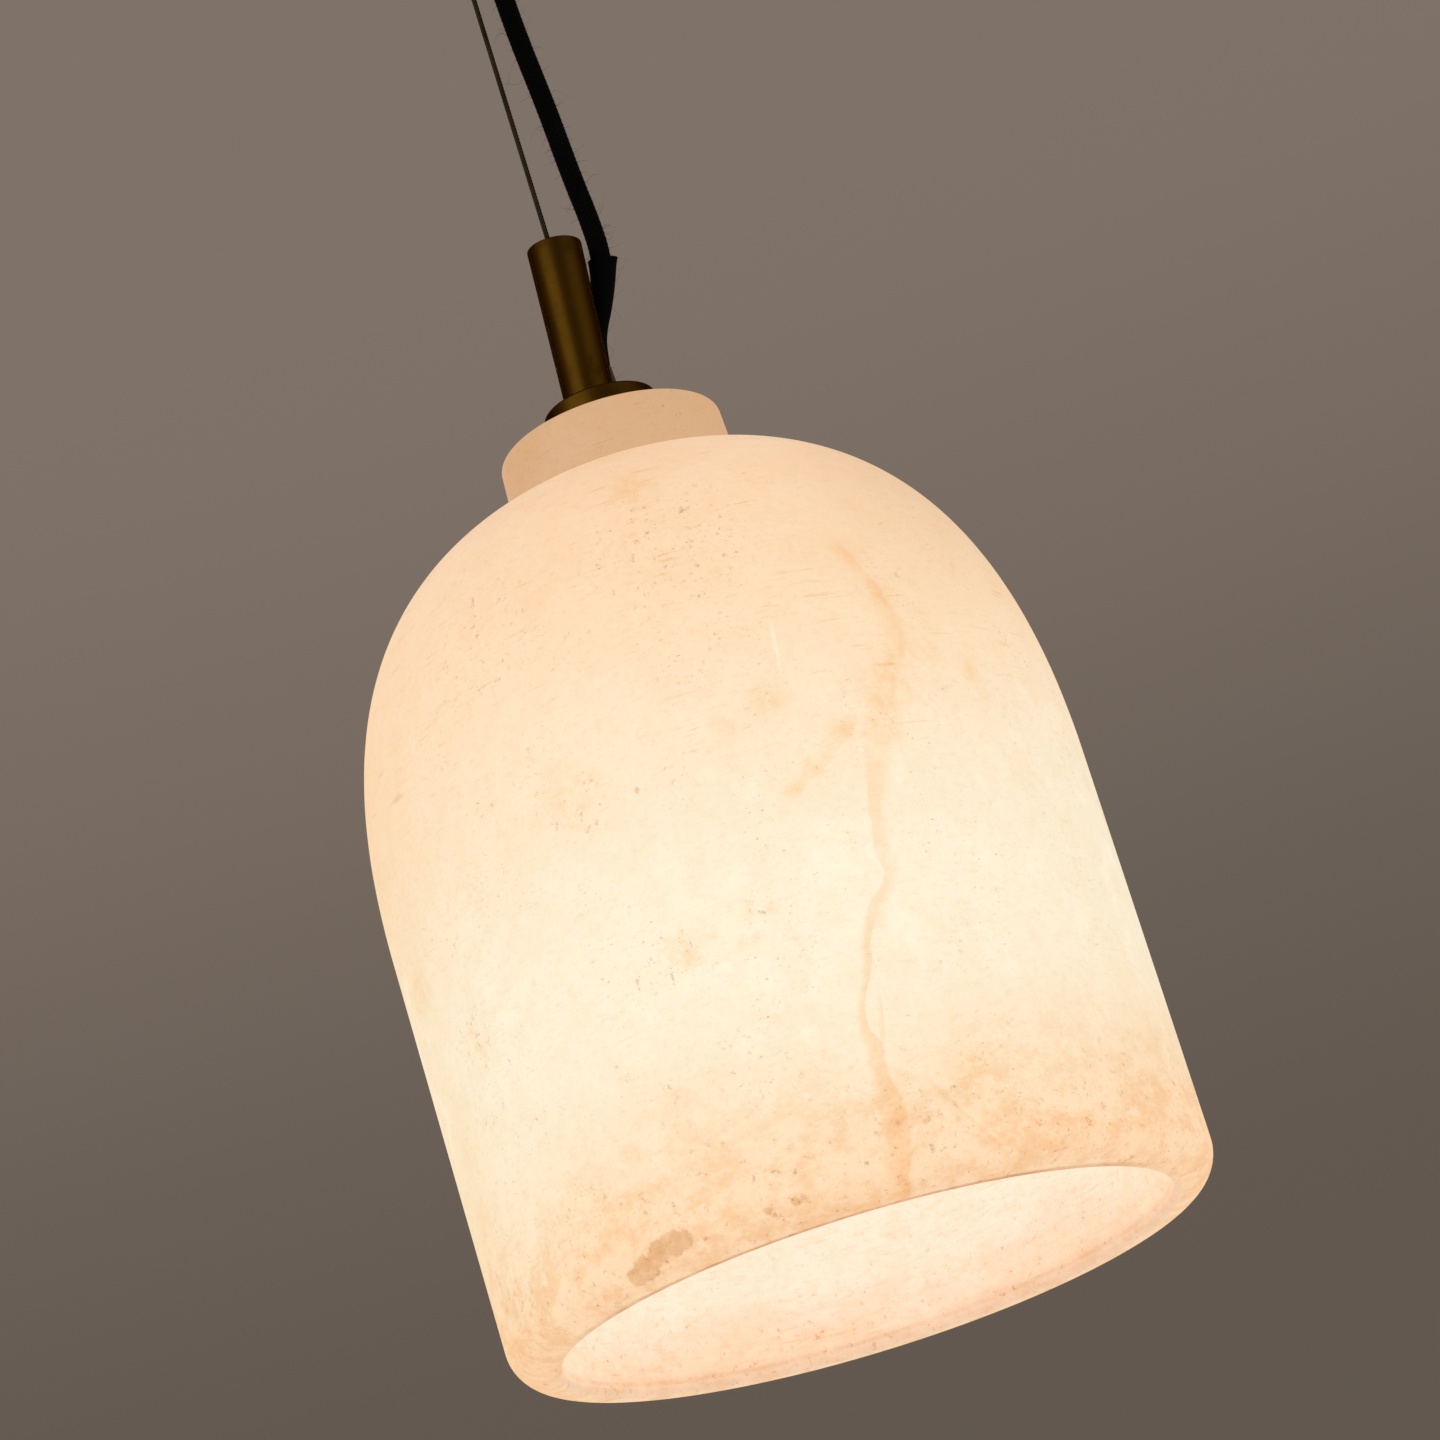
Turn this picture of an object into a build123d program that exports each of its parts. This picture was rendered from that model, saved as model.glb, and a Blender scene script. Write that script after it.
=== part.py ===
"""Alabaster bell pendant: a stone bell hung from a ceiling canopy by a steel wire, with its cord beside it.

Millimetres, +Z up. The origin is the centre of the crossbar's top face, on the ceiling plane, so all of
the lamp lies below z = 0. X runs to the right and Y away from the viewer.
"""
import os
from math import cos, hypot, pi, radians, sin, tan

from build123d import *

os.makedirs("parts", exist_ok=True)

# ---------------------------------------------------------------- driving dimensions
# The drop, from the ceiling to the brass flange on the stone
canopy_height = 25.0
wire_drop = 187.1  # underside of the canopy to the top of the flange

# The stone bell
bell_height = 256.6  # lip to crown
lip_radius = 105.0
shoulder_radius = 105.9
shoulder_height = 134.0  # where the straight wall ends and the dome starts
dome_fullness = 0.677  # length of the dome curve's handles; 0.552 would be a round quarter
bell_wall = 14.5
crown_wall = 14.6
lip_round = 10.4
lip_inner_round = 2.5
neck_height = 16.6  # above the crown
neck_top_radius = 34.6
neck_base_radius = 35.4
neck_foot = 2.0  # how far the neck's taper runs on below the crown
neck_round = 2.0
stone_hole_radius = 14.5
seat_radius = 28.0  # flat seat turned inside the crown
seat_cut = 7.0  # deeper than the dome's curve drops over the seat

# The brass flange, its gasket and the stud that the wire hangs in
flange_radius = 17.6
flange_thickness = 10.6
flange_round = 0.8
flange_chamfer = 0.4
gasket_thickness = 1.1
gasket_margin = 0.5
stud_radius = 4.0
stud_height = 30.0
stud_chamfer = 0.5
stud_shank_radius = 3.0
stud_shank_depth = 4.0
thread_clearance = 0.05

# The loose brass sleeve, which leans on the wire and the stud
sleeve_length = 55.4
sleeve_base_radius = 7.9
sleeve_top_radius = 8.6
sleeve_wall = 1.0
sleeve_cap = 1.5
sleeve_hole_radius = 2.1
sleeve_round = 0.4
sleeve_base_offset = (-2.3, 0.6)  # from the lamp's axis
sleeve_top_offset = (1.1, -0.4)
seat_gap = 0.05

# The suspension wire, its ferrule and the gripper that holds it at the canopy
wire_radius = 0.75
wire_joint_gap = 0.2
wire_bend_length = 4.0
wire_tail_end = 9.0  # below the ceiling
ferrule_radius = 2.2
ferrule_length = 9.0
ferrule_chamfer = 0.35
ferrule_clearance = 0.08
ferrule_seat_depth = 7.0  # the roof over the ferrule, below the stud's top
wire_clearance = 0.3
gripper_radius = 6.5
gripper_below_canopy = 26.0
gripper_above_canopy = 8.0
gripper_round = 0.8
gripper_socket_depth = 7.0
plunger_radius = 2.95
plunger_reach = 5.0
plunger_round = 0.5
guide_length = 6.0
guide_clearance = 0.05
ball_radius = 1.2
ball_count = 3
ball_clearance = 0.04
cone_angle = 8.0
spring_wire_radius = 0.3
spring_radius = 2.5
spring_turns = 6
spring_gap = 0.05
chamber_radius = 4.4
chamber_roof = 4.0

# The ceiling hardware
canopy_radius = 50.0
canopy_sheet = 1.2
canopy_corner = 5.0
canopy_hole_clearance = 0.5
crossbar_width = 18.0
crossbar_sheet = 2.0
ear_drop = 12.0
ear_gap = 0.9
box_slot_spacing = 70.0
box_slot_width = 4.6
box_slot_length = 12.0
nipple_radius = 5.0
nipple_bore = 3.0
nut_flats = 14.0
nut_thickness = 4.5
side_screw_depth = 9.0  # below the ceiling
side_screw_radius = 1.9
side_screw_length = 6.5
side_head_radius = 3.5
side_head_length = 3.5
side_head_chamfer = 0.7
screw_clearance = 0.2
earth_screw_place = 15.0
earth_screw_radius = 2.0
earth_head_radius = 3.8
earth_head_height = 2.4
earth_head_chamfer = 0.5
block_place = -22.0
block_size = (16.0, 14.0, 10.0)
block_round = 1.0
block_hole_depth = 7.0
block_screw_radius = 2.0
block_screw_height = 0.8
block_screw_slot = 0.6
block_slot_depth = 0.4
block_pitch = 8.0

# The textile cord and what it passes through
cord_radius = 3.0
cord_clearance = 0.5
bushing_radius = 5.0
bushing_head_radius = 6.0
bushing_head_height = 3.0
bushing_taper = 15.0
bushing_nut_height = 3.0
shrink_thickness = 0.45
shrink_gap = 0.02
shrink_length = 35.0
shrink_lift = 0.5  # above the relief
gland_place = (3.2, 12.0)
gland_radius = 4.4
gland_height = 7.0
gland_round = 0.6
gland_shank_radius = 3.9
gland_bore_radius = 3.25
relief_height = 10.0
relief_base_radius = 4.25
relief_top_radius = 3.95
relief_bore_radius = 3.5
cord_end_depth = 5.0  # the textile ends this far below the flange's top

# The cord's route below the canopy: x, y and height above the flange's top, chosen by hand
cord_points = [
    (9.0, 12.8, 198.0),
    (9.0, 12.8, 169.0),
    (9.6, 12.1, 139.0),
    (11.8, 10.6, 109.0),
    (12.9, 8.6, 82.0),
    (14.3, 7.6, 64.0),
    (14.3, 7.6, 51.0),
    (11.3, 9.1, 40.0),
    (5.0, 11.5, 28.5),
    (3.1, 12.0, 16.5),
    (3.2, 12.0, 6.0),
    (3.2, 12.0, -cord_end_depth),
]
run_share = 0.45  # of the shorter run, taken by each arc

# Leads
lead_radius = 0.9
lead_spread = 1.2  # of each core from the cord's centre
lead_bend = 5.0
lead_entry = 3.0  # how far each lead goes into the terminal block

# Inside the bell
washer_thickness = 2.0
plate_thickness = 2.5
plate_radius = 26.0
lamp_nipple_bore = 3.2
nipple_pocket = 4.5
clamp_nut_flats = 17.0
clamp_nut_thickness = 5.0
bracket_sheet = 1.5
bracket_width = 14.0
bracket_drop = 24.0
bracket_span = 38.0
bracket_foot = 8.0
bracket_nut_thickness = 4.0
holder_top_radius = 23.0
holder_rim_radius = 20.5
holder_height = 44.0
holder_cavity_radius = 14.9
holder_cavity_depth = 34.0
holder_round = 2.0
holder_screw_radius = 1.6
holder_screw_head_radius = 3.0
holder_screw_head_height = 2.0
holder_screw_chamfer = 0.5
holder_screw_depth = 7.0
holder_step = 6.0
shell_outer_radius = 14.5
shell_wall = 0.6
shell_length = 26.0
shell_roof_hole = 8.0
contact_radius = 4.0
contact_thickness = 1.0
terminal_radius = 2.6
terminal_height = 2.4
terminal_chamfer = 0.4
terminal_place = (7.5, 14.0)
lead_drop = 10.0  # height above the lampholder where each lead turns down to its terminal

# The bulb
bulb_length = 111.0
bulb_radius = 30.0
bulb_glass_wall = 1.0
bulb_neck_radius = 12.6
bulb_flank_pull = 22.0  # handles of the curve from the round end to the neck
bulb_neck_pull = 18.0
bulb_shell_radius = 12.8
bulb_shell_wall = 0.5
bulb_shell_rim = 3.0
bulb_thread_depth = 0.5
bulb_thread_pitch = 3.6
bulb_thread_turns = 5
insulator_height = 4.5
insulator_tip_radius = 5.5
tip_radius = 4.5
tip_height = 1.5
tip_round = 0.7
tip_gap = 0.15
filament_radius = 0.8
filament_length = 34.0
filament_count = 4
stem_radius = 4.0
stem_height = 24.0
stem_round = 2.0
stem_disc_thickness = 2.0
filament_lean = 8.0
filament_drop = 12.0  # of the filaments' upper ends, below the shell's edge

# ---------------------------------------------------------------- heights worked out from them
canopy_z = -canopy_height
flange_top_z = canopy_z - wire_drop
flange_base_z = flange_top_z - flange_thickness
neck_top_z = flange_base_z - gasket_thickness
crown_z = neck_top_z - neck_height
lip_z = crown_z - bell_height
shoulder_z = lip_z + shoulder_height
inner_crown_z = crown_z - crown_wall
washer_z = inner_crown_z - washer_thickness
plate_z = washer_z - plate_thickness
clamp_nut_z = plate_z - clamp_nut_thickness
bracket_z = clamp_nut_z - bracket_sheet
bracket_nut_z = bracket_z - bracket_nut_thickness
holder_top_z = bracket_z - bracket_drop
holder_rim_z = holder_top_z - holder_height
cavity_roof_z = holder_rim_z + holder_cavity_depth
contact_z = cavity_roof_z - contact_thickness
bulb_top_z = contact_z - tip_gap
bulb_base_z = bulb_top_z - bulb_length
gripper_base_z = canopy_z - gripper_below_canopy
gripper_top_z = canopy_z + gripper_above_canopy
plunger_base_z = gripper_base_z - plunger_reach
swing_z = plunger_base_z - wire_joint_gap
cord_top_z = flange_top_z + cord_points[0][2]
stud_top_z = flange_top_z + stud_height
ferrule_top_z = stud_top_z - ferrule_seat_depth


def thread_hole(radius):
    """The radius of a hole that takes a screw or stud of the given radius."""
    return radius + thread_clearance


def route(points):
    """Flange-based points as places in the lamp's own frame."""
    return [(x, y, flange_top_z + height) for x, y, height in points]


def bend_radii(places, share):
    """The largest arc that each corner's two runs allow, as a list, one radius a corner."""
    radii = []
    for before, corner, after in zip(places, places[1:], places[2:]):
        arriving = Vector(*corner) - Vector(*before)
        leaving = Vector(*after) - Vector(*corner)
        half_turn = radians(arriving.get_angle(leaving)) / 2
        radii.append(share * min(arriving.length, leaving.length) / tan(half_turn))
    return radii


# ---------------------------------------------------------------- ceiling hardware
ear_face = canopy_radius - canopy_sheet - ear_gap  # outer face of each ear, on the X axis
bar_base_z = -crossbar_sheet

with BuildPart() as crossbar:
    with BuildSketch(Plane.XY.offset(bar_base_z)):
        Rectangle(2 * ear_face, crossbar_width)
        Circle(thread_hole(nipple_radius), mode=Mode.SUBTRACT)
        with GridLocations(box_slot_spacing, 0, 2, 1):
            SlotOverall(box_slot_length, box_slot_width, mode=Mode.SUBTRACT)
        with Locations((earth_screw_place, 0)):
            Circle(thread_hole(earth_screw_radius), mode=Mode.SUBTRACT)
    extrude(amount=crossbar_sheet)
    for side in (-1, 1):
        ear_middle = side * (ear_face - crossbar_sheet / 2)
        with BuildSketch(Plane.XY.offset(bar_base_z)):
            with Locations((ear_middle, 0)):
                Rectangle(crossbar_sheet, crossbar_width)
        extrude(amount=-ear_drop)
        # each ear has a slot, open below, that the canopy's side screw drops out of
        with BuildSketch(Plane.YZ.offset(ear_middle)):
            with Locations((0, -side_screw_depth)):
                Circle(side_screw_radius + screw_clearance)
            slot_floor = -side_screw_depth - ear_drop
            with Locations((0, (-side_screw_depth + slot_floor) / 2)):
                Rectangle(2 * (side_screw_radius + screw_clearance), ear_drop)
        extrude(amount=crossbar_sheet, both=True, mode=Mode.SUBTRACT)
crossbar.part.label = "crossbar"
export_step(crossbar.part, "parts/crossbar.step")

# the hollow threaded nipple, screwed into the crossbar and into the gripper's top
nipple_top_z = -seat_gap
nipple_base_z = gripper_top_z - gripper_socket_depth + seat_gap
with BuildPart() as nipple:
    with BuildSketch(Plane.XY.offset(nipple_base_z)):
        Circle(nipple_radius)
        Circle(nipple_bore, mode=Mode.SUBTRACT)
    extrude(amount=nipple_top_z - nipple_base_z)
nipple.part.label = "nipple"
export_step(nipple.part, "parts/nipple.step")

with BuildPart() as nipple_nut:
    with BuildSketch(Plane.XY.offset(bar_base_z - nut_thickness)):
        RegularPolygon(nut_flats / 2, 6, major_radius=False)
        Circle(thread_hole(nipple_radius), mode=Mode.SUBTRACT)
    extrude(amount=nut_thickness)
nipple_nut.part.label = "nipple_nut"
export_step(nipple_nut.part, "parts/nipple_nut.step")

with BuildPart() as earth_screw:
    with Locations((earth_screw_place, 0, bar_base_z)):
        Cylinder(
            earth_head_radius,
            earth_head_height,
            align=(Align.CENTER, Align.CENTER, Align.MAX),
        )
        Cylinder(
            earth_screw_radius,
            crossbar_sheet - seat_gap,
            align=(Align.CENTER, Align.CENTER, Align.MIN),
        )
    head_rim = earth_screw.edges().filter_by(GeomType.CIRCLE).group_by(Axis.Z)[0]
    chamfer(head_rim, earth_head_chamfer)
earth_screw.part.label = "earth_screw"
export_step(earth_screw.part, "parts/earth_screw.step")

block_width, block_depth, block_height = block_size
block_face_y = block_depth / 2  # the face that the leads enter
block_base_z = bar_base_z - block_height
lead_z = bar_base_z - block_height / 2
lead_columns = [block_place + side * block_pitch / 2 for side in (1, -1)]
with BuildPart() as terminal_block:
    with Locations((block_place, 0, lead_z)):
        Box(block_width, block_depth, block_height)
    fillet(terminal_block.edges().filter_by(Axis.Z), block_round)
    for column in lead_columns:
        with BuildSketch(Plane.XZ.offset(-block_face_y)):
            with Locations((column, lead_z)):
                Circle(lead_radius + screw_clearance)
        extrude(amount=block_hole_depth, mode=Mode.SUBTRACT)
terminal_block.part.label = "terminal_block"
export_step(terminal_block.part, "parts/terminal_block.step")

with BuildPart() as block_screws:
    for column in lead_columns:
        with BuildSketch(Plane.XY.offset(block_base_z)):
            with Locations((column, 0)):
                Circle(block_screw_radius)
        extrude(amount=-block_screw_height)
        with BuildSketch(Plane.XY.offset(block_base_z - block_screw_height)):
            with Locations((column, 0)):
                Rectangle(2 * block_screw_radius, block_screw_slot)
        extrude(amount=block_slot_depth, mode=Mode.SUBTRACT)
block_screws.part.label = "block_screws"
export_step(block_screws.part, "parts/block_screws.step")

# ---------------------------------------------------------------- canopy
cord_x, cord_y = cord_points[0][:2]
canopy_floor_z = canopy_z + canopy_sheet
with BuildPart() as canopy:
    with BuildSketch(Plane.XY.offset(canopy_z)):
        Circle(canopy_radius)
    extrude(amount=canopy_height - seat_gap)
    fillet(canopy.faces().sort_by(Axis.Z)[0].edges(), canopy_corner)
    offset(amount=-canopy_sheet, openings=canopy.faces().sort_by(Axis.Z)[-1])
    with BuildSketch(Plane.XY.offset(canopy_z)):
        Circle(gripper_radius + canopy_hole_clearance)
        with Locations((cord_x, cord_y)):
            Circle(thread_hole(bushing_radius))
    extrude(amount=canopy_sheet, both=True, mode=Mode.SUBTRACT)
    with BuildSketch(Plane.YZ):
        with Locations((0, -side_screw_depth)):
            Circle(thread_hole(side_screw_radius))
    extrude(amount=canopy_radius, both=True, mode=Mode.SUBTRACT)
canopy.part.label = "canopy"
export_step(canopy.part, "parts/canopy.step")

with BuildPart() as canopy_screws:
    for side in (-1, 1):
        with BuildSketch(Plane.YZ.offset(side * (canopy_radius + seat_gap))):
            with Locations((0, -side_screw_depth)):
                Circle(side_head_radius)
        extrude(amount=side * side_head_length)
        with BuildSketch(Plane.YZ.offset(side * (canopy_radius + seat_gap))):
            with Locations((0, -side_screw_depth)):
                Circle(side_screw_radius)
        extrude(amount=-side * side_screw_length)
    screw_rims = canopy_screws.edges().filter_by(GeomType.CIRCLE).group_by(Axis.X)
    chamfer(screw_rims[0] + screw_rims[-1], side_head_chamfer)
canopy_screws.part.label = "canopy_screws"
export_step(canopy_screws.part, "parts/canopy_screws.step")

# the bushing that keeps the cord off the canopy's edge, and its nut inside
bore = cord_radius + cord_clearance
with BuildPart() as cord_bushing:
    with BuildSketch(Plane.XY.offset(canopy_z)):
        with Locations((cord_x, cord_y)):
            Circle(bushing_head_radius)
    extrude(amount=-bushing_head_height, taper=bushing_taper)
    with BuildSketch(Plane.XY.offset(canopy_z)):
        with Locations((cord_x, cord_y)):
            Circle(bushing_radius)
    extrude(amount=canopy_sheet + bushing_nut_height)
    with BuildSketch(Plane.XY.offset(canopy_z)):
        with Locations((cord_x, cord_y)):
            Circle(bore)
    extrude(amount=bushing_head_height + bushing_nut_height, both=True, mode=Mode.SUBTRACT)
cord_bushing.part.label = "cord_bushing"
export_step(cord_bushing.part, "parts/cord_bushing.step")

with BuildPart() as bushing_nut:
    with BuildSketch(Plane.XY.offset(canopy_floor_z)):
        with Locations((cord_x, cord_y)):
            RegularPolygon(bushing_head_radius, 6, major_radius=False)
            Circle(thread_hole(bushing_radius), mode=Mode.SUBTRACT)
    extrude(amount=bushing_nut_height)
bushing_nut.part.label = "bushing_nut"
export_step(bushing_nut.part, "parts/bushing_nut.step")

# ---------------------------------------------------------------- wire gripper
guide_radius = plunger_radius + guide_clearance
cone_base_z = gripper_base_z + guide_length
ball_orbit = wire_radius + ball_radius + ball_clearance
cone_slope = tan(radians(cone_angle))
cone_at_ball = ball_orbit + (ball_radius + ball_clearance) / cos(radians(cone_angle))
ball_z = cone_base_z + (cone_at_ball - guide_radius) / cone_slope
chamber_base_z = cone_base_z + (chamber_radius - guide_radius) / cone_slope
chamber_top_z = gripper_top_z - gripper_socket_depth - chamber_roof
plunger_top_z = ball_z + 2 * ball_radius
with BuildPart() as gripper_barrel:
    with BuildSketch(Plane.XY.offset(gripper_base_z)):
        Circle(gripper_radius)
    extrude(amount=gripper_top_z - gripper_base_z)
    fillet(gripper_barrel.faces().sort_by(Axis.Z)[0].edges(), gripper_round)
    # the bore for the plunger, widening upward so that the wire's pull wedges the balls
    with BuildSketch(Plane.XZ) as gripper_bore:
        with BuildLine():
            Polyline(
                (0, gripper_base_z),
                (guide_radius, gripper_base_z),
                (guide_radius, cone_base_z),
                (chamber_radius, chamber_base_z),
                (chamber_radius, chamber_top_z),
                (wire_radius + wire_clearance, chamber_top_z),
                (wire_radius + wire_clearance, gripper_top_z - gripper_socket_depth),
                (thread_hole(nipple_radius), gripper_top_z - gripper_socket_depth),
                (thread_hole(nipple_radius), gripper_top_z),
                (0, gripper_top_z),
                close=True,
            )
        make_face()
    revolve(axis=Axis.Z, mode=Mode.SUBTRACT)
gripper_barrel.part.label = "gripper_barrel"
export_step(gripper_barrel.part, "parts/gripper_barrel.step")

with BuildPart() as gripper_plunger:
    with BuildSketch(Plane.XY.offset(plunger_base_z)):
        Circle(plunger_radius)
    extrude(amount=plunger_top_z - plunger_base_z)
    fillet(gripper_plunger.faces().sort_by(Axis.Z)[0].edges(), plunger_round)
    with BuildSketch(Plane.XY.offset(plunger_base_z)):
        Circle(wire_radius + wire_clearance)
    extrude(amount=plunger_top_z - plunger_base_z, mode=Mode.SUBTRACT)
    for turn in range(ball_count):
        outward = Vector(1, 0, 0).rotate(Axis.Z, turn * 360 / ball_count)
        with BuildSketch(Plane((0, 0, ball_z), z_dir=outward)):
            Circle(ball_radius + ball_clearance)
        extrude(amount=2 * plunger_radius, mode=Mode.SUBTRACT)
gripper_plunger.part.label = "gripper_plunger"
export_step(gripper_plunger.part, "parts/gripper_plunger.step")

with BuildPart() as gripper_balls:
    with Locations((0, 0, ball_z)):
        with PolarLocations(ball_orbit, ball_count):
            Sphere(ball_radius)
gripper_balls.part.label = "gripper_balls"
export_step(gripper_balls.part, "parts/gripper_balls.step")

spring_base_z = plunger_top_z + spring_gap + spring_wire_radius
spring_top_z = chamber_top_z - spring_gap - spring_wire_radius
with BuildPart() as gripper_spring:
    with BuildLine():
        coil = Helix(
            pitch=(spring_top_z - spring_base_z) / spring_turns,
            height=spring_top_z - spring_base_z,
            radius=spring_radius,
            center=(0, 0, spring_base_z),
        )
    with BuildSketch(Plane(origin=coil @ 0, z_dir=coil % 0)):
        Circle(spring_wire_radius)
    sweep(path=coil)
gripper_spring.part.label = "gripper_spring"
export_step(gripper_spring.part, "parts/gripper_spring.step")

# ---------------------------------------------------------------- suspension wire
with BuildPart() as wire_tail:
    with BuildSketch(Plane.XY.offset(swing_z + wire_joint_gap / 2)):
        Circle(wire_radius)
    extrude(amount=-wire_tail_end - swing_z - wire_joint_gap / 2)
wire_tail.part.label = "wire_tail"
export_step(wire_tail.part, "parts/wire_tail.step")

wire_top_z = swing_z - wire_bend_length
with BuildPart() as wire_bend:
    with BuildSketch(Plane.XY.offset(swing_z - wire_joint_gap / 2)):
        Circle(wire_radius)
    extrude(amount=-(wire_bend_length - wire_joint_gap))
wire_bend.part.label = "wire_bend"
export_step(wire_bend.part, "parts/wire_bend.step")

with BuildPart() as suspension_wire:
    with BuildSketch(Plane.XY.offset(wire_top_z - wire_joint_gap / 2)):
        Circle(wire_radius)
    extrude(amount=ferrule_top_z - wire_top_z + wire_joint_gap / 2)
suspension_wire.part.label = "suspension_wire"
export_step(suspension_wire.part, "parts/suspension_wire.step")

with BuildPart() as wire_ferrule:
    with BuildSketch(Plane.XY.offset(ferrule_top_z)):
        Circle(ferrule_radius)
    extrude(amount=-ferrule_length)
    chamfer(wire_ferrule.edges().filter_by(GeomType.CIRCLE), ferrule_chamfer)
wire_ferrule.part.label = "wire_ferrule"
export_step(wire_ferrule.part, "parts/wire_ferrule.step")

# ---------------------------------------------------------------- stud and flange
with BuildPart() as hanger_stud:
    with BuildSketch(Plane.XY.offset(flange_top_z)):
        Circle(stud_radius)
    extrude(amount=stud_height)
    chamfer(hanger_stud.faces().sort_by(Axis.Z)[-1].edges(), stud_chamfer)
    with BuildSketch(Plane.XY.offset(flange_top_z)):
        Circle(stud_shank_radius)
    extrude(amount=-stud_shank_depth)
    # the wire's throat, and the pocket below it that holds the ferrule
    with BuildSketch(Plane.XY.offset(stud_top_z)):
        Circle(wire_radius + wire_clearance)
    extrude(amount=-ferrule_seat_depth, mode=Mode.SUBTRACT)
    with BuildSketch(Plane.XY.offset(ferrule_top_z + ferrule_clearance)):
        Circle(ferrule_radius + ferrule_clearance)
    extrude(amount=-(ferrule_length + 2 * ferrule_clearance + thread_clearance), mode=Mode.SUBTRACT)
    # a window in the stud's side, through which the ferrule is dropped in
    with BuildSketch(Plane.XZ.offset(stud_radius)):
        with Locations((0, ferrule_top_z - ferrule_length / 2)):
            Rectangle(2 * (ferrule_radius + ferrule_clearance), ferrule_length + 2 * ferrule_clearance)
    extrude(amount=-stud_radius, mode=Mode.SUBTRACT)
hanger_stud.part.label = "hanger_stud"
export_step(hanger_stud.part, "parts/hanger_stud.step")

with BuildPart() as flange:
    with BuildSketch(Plane.XY.offset(flange_base_z)):
        Circle(flange_radius)
    extrude(amount=flange_thickness)
    fillet(flange.faces().sort_by(Axis.Z)[-1].edges(), flange_round)
    chamfer(flange.faces().sort_by(Axis.Z)[0].edges(), flange_chamfer)
    with BuildSketch(Plane.XY.offset(flange_top_z)):
        Circle(thread_hole(stud_shank_radius))
    extrude(amount=-stud_shank_depth - seat_gap, mode=Mode.SUBTRACT)
    with BuildSketch(Plane.XY.offset(flange_base_z)):
        Circle(thread_hole(nipple_radius))
    extrude(amount=nipple_pocket, mode=Mode.SUBTRACT)
    with BuildSketch(Plane.XY.offset(flange_base_z)):
        with Locations(gland_place):
            Circle(thread_hole(gland_shank_radius))
    extrude(amount=flange_thickness, mode=Mode.SUBTRACT)
flange.part.label = "flange"
export_step(flange.part, "parts/flange.step")

with BuildPart() as flange_gasket:
    with BuildSketch(Plane.XY.offset(neck_top_z)):
        Circle(flange_radius - gasket_margin)
        Circle(stone_hole_radius, mode=Mode.SUBTRACT)
    extrude(amount=gasket_thickness)
flange_gasket.part.label = "flange_gasket"
export_step(flange_gasket.part, "parts/flange_gasket.step")

# ---------------------------------------------------------------- brass sleeve
base_x, base_y = sleeve_base_offset
top_x, top_y = sleeve_top_offset
lean_run = hypot(top_x - base_x, top_y - base_y)
lean_slope = lean_run / sleeve_length
sleeve_rise = seat_gap + sleeve_base_radius * lean_slope  # so that its lowest edge just rests
sleeve_plane = Plane(
    (base_x, base_y, flange_top_z + sleeve_rise),
    z_dir=(top_x - base_x, top_y - base_y, sleeve_length),
)
with BuildPart() as stem_sleeve:
    with BuildSketch(sleeve_plane):
        Circle(sleeve_base_radius)
    with BuildSketch(sleeve_plane.offset(sleeve_length)):
        Circle(sleeve_top_radius)
    loft()
    fillet(stem_sleeve.faces().sort_by(Axis.Z)[-1].edges(), sleeve_round)
    with BuildSketch(sleeve_plane):
        Circle(sleeve_base_radius - sleeve_wall)
    with BuildSketch(sleeve_plane.offset(sleeve_length - sleeve_cap)):
        Circle(sleeve_top_radius - sleeve_wall)
    loft(mode=Mode.SUBTRACT)
    with BuildSketch(sleeve_plane.offset(sleeve_length)):
        Circle(sleeve_hole_radius)
    extrude(amount=-sleeve_cap - seat_gap, mode=Mode.SUBTRACT)
stem_sleeve.part.label = "stem_sleeve"
export_step(stem_sleeve.part, "parts/stem_sleeve.step")

# ---------------------------------------------------------------- alabaster bell
inner_lip_radius = lip_radius - bell_wall
inner_shoulder_radius = shoulder_radius - bell_wall


def dome_curve(radius, top_z):
    """Control points of a quarter of the dome, from the wall at shoulder height up to the axis."""
    rise = top_z - shoulder_z
    return (
        (radius, shoulder_z),
        (radius, shoulder_z + dome_fullness * rise),
        (dome_fullness * radius, top_z),
        (0, top_z),
    )


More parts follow.
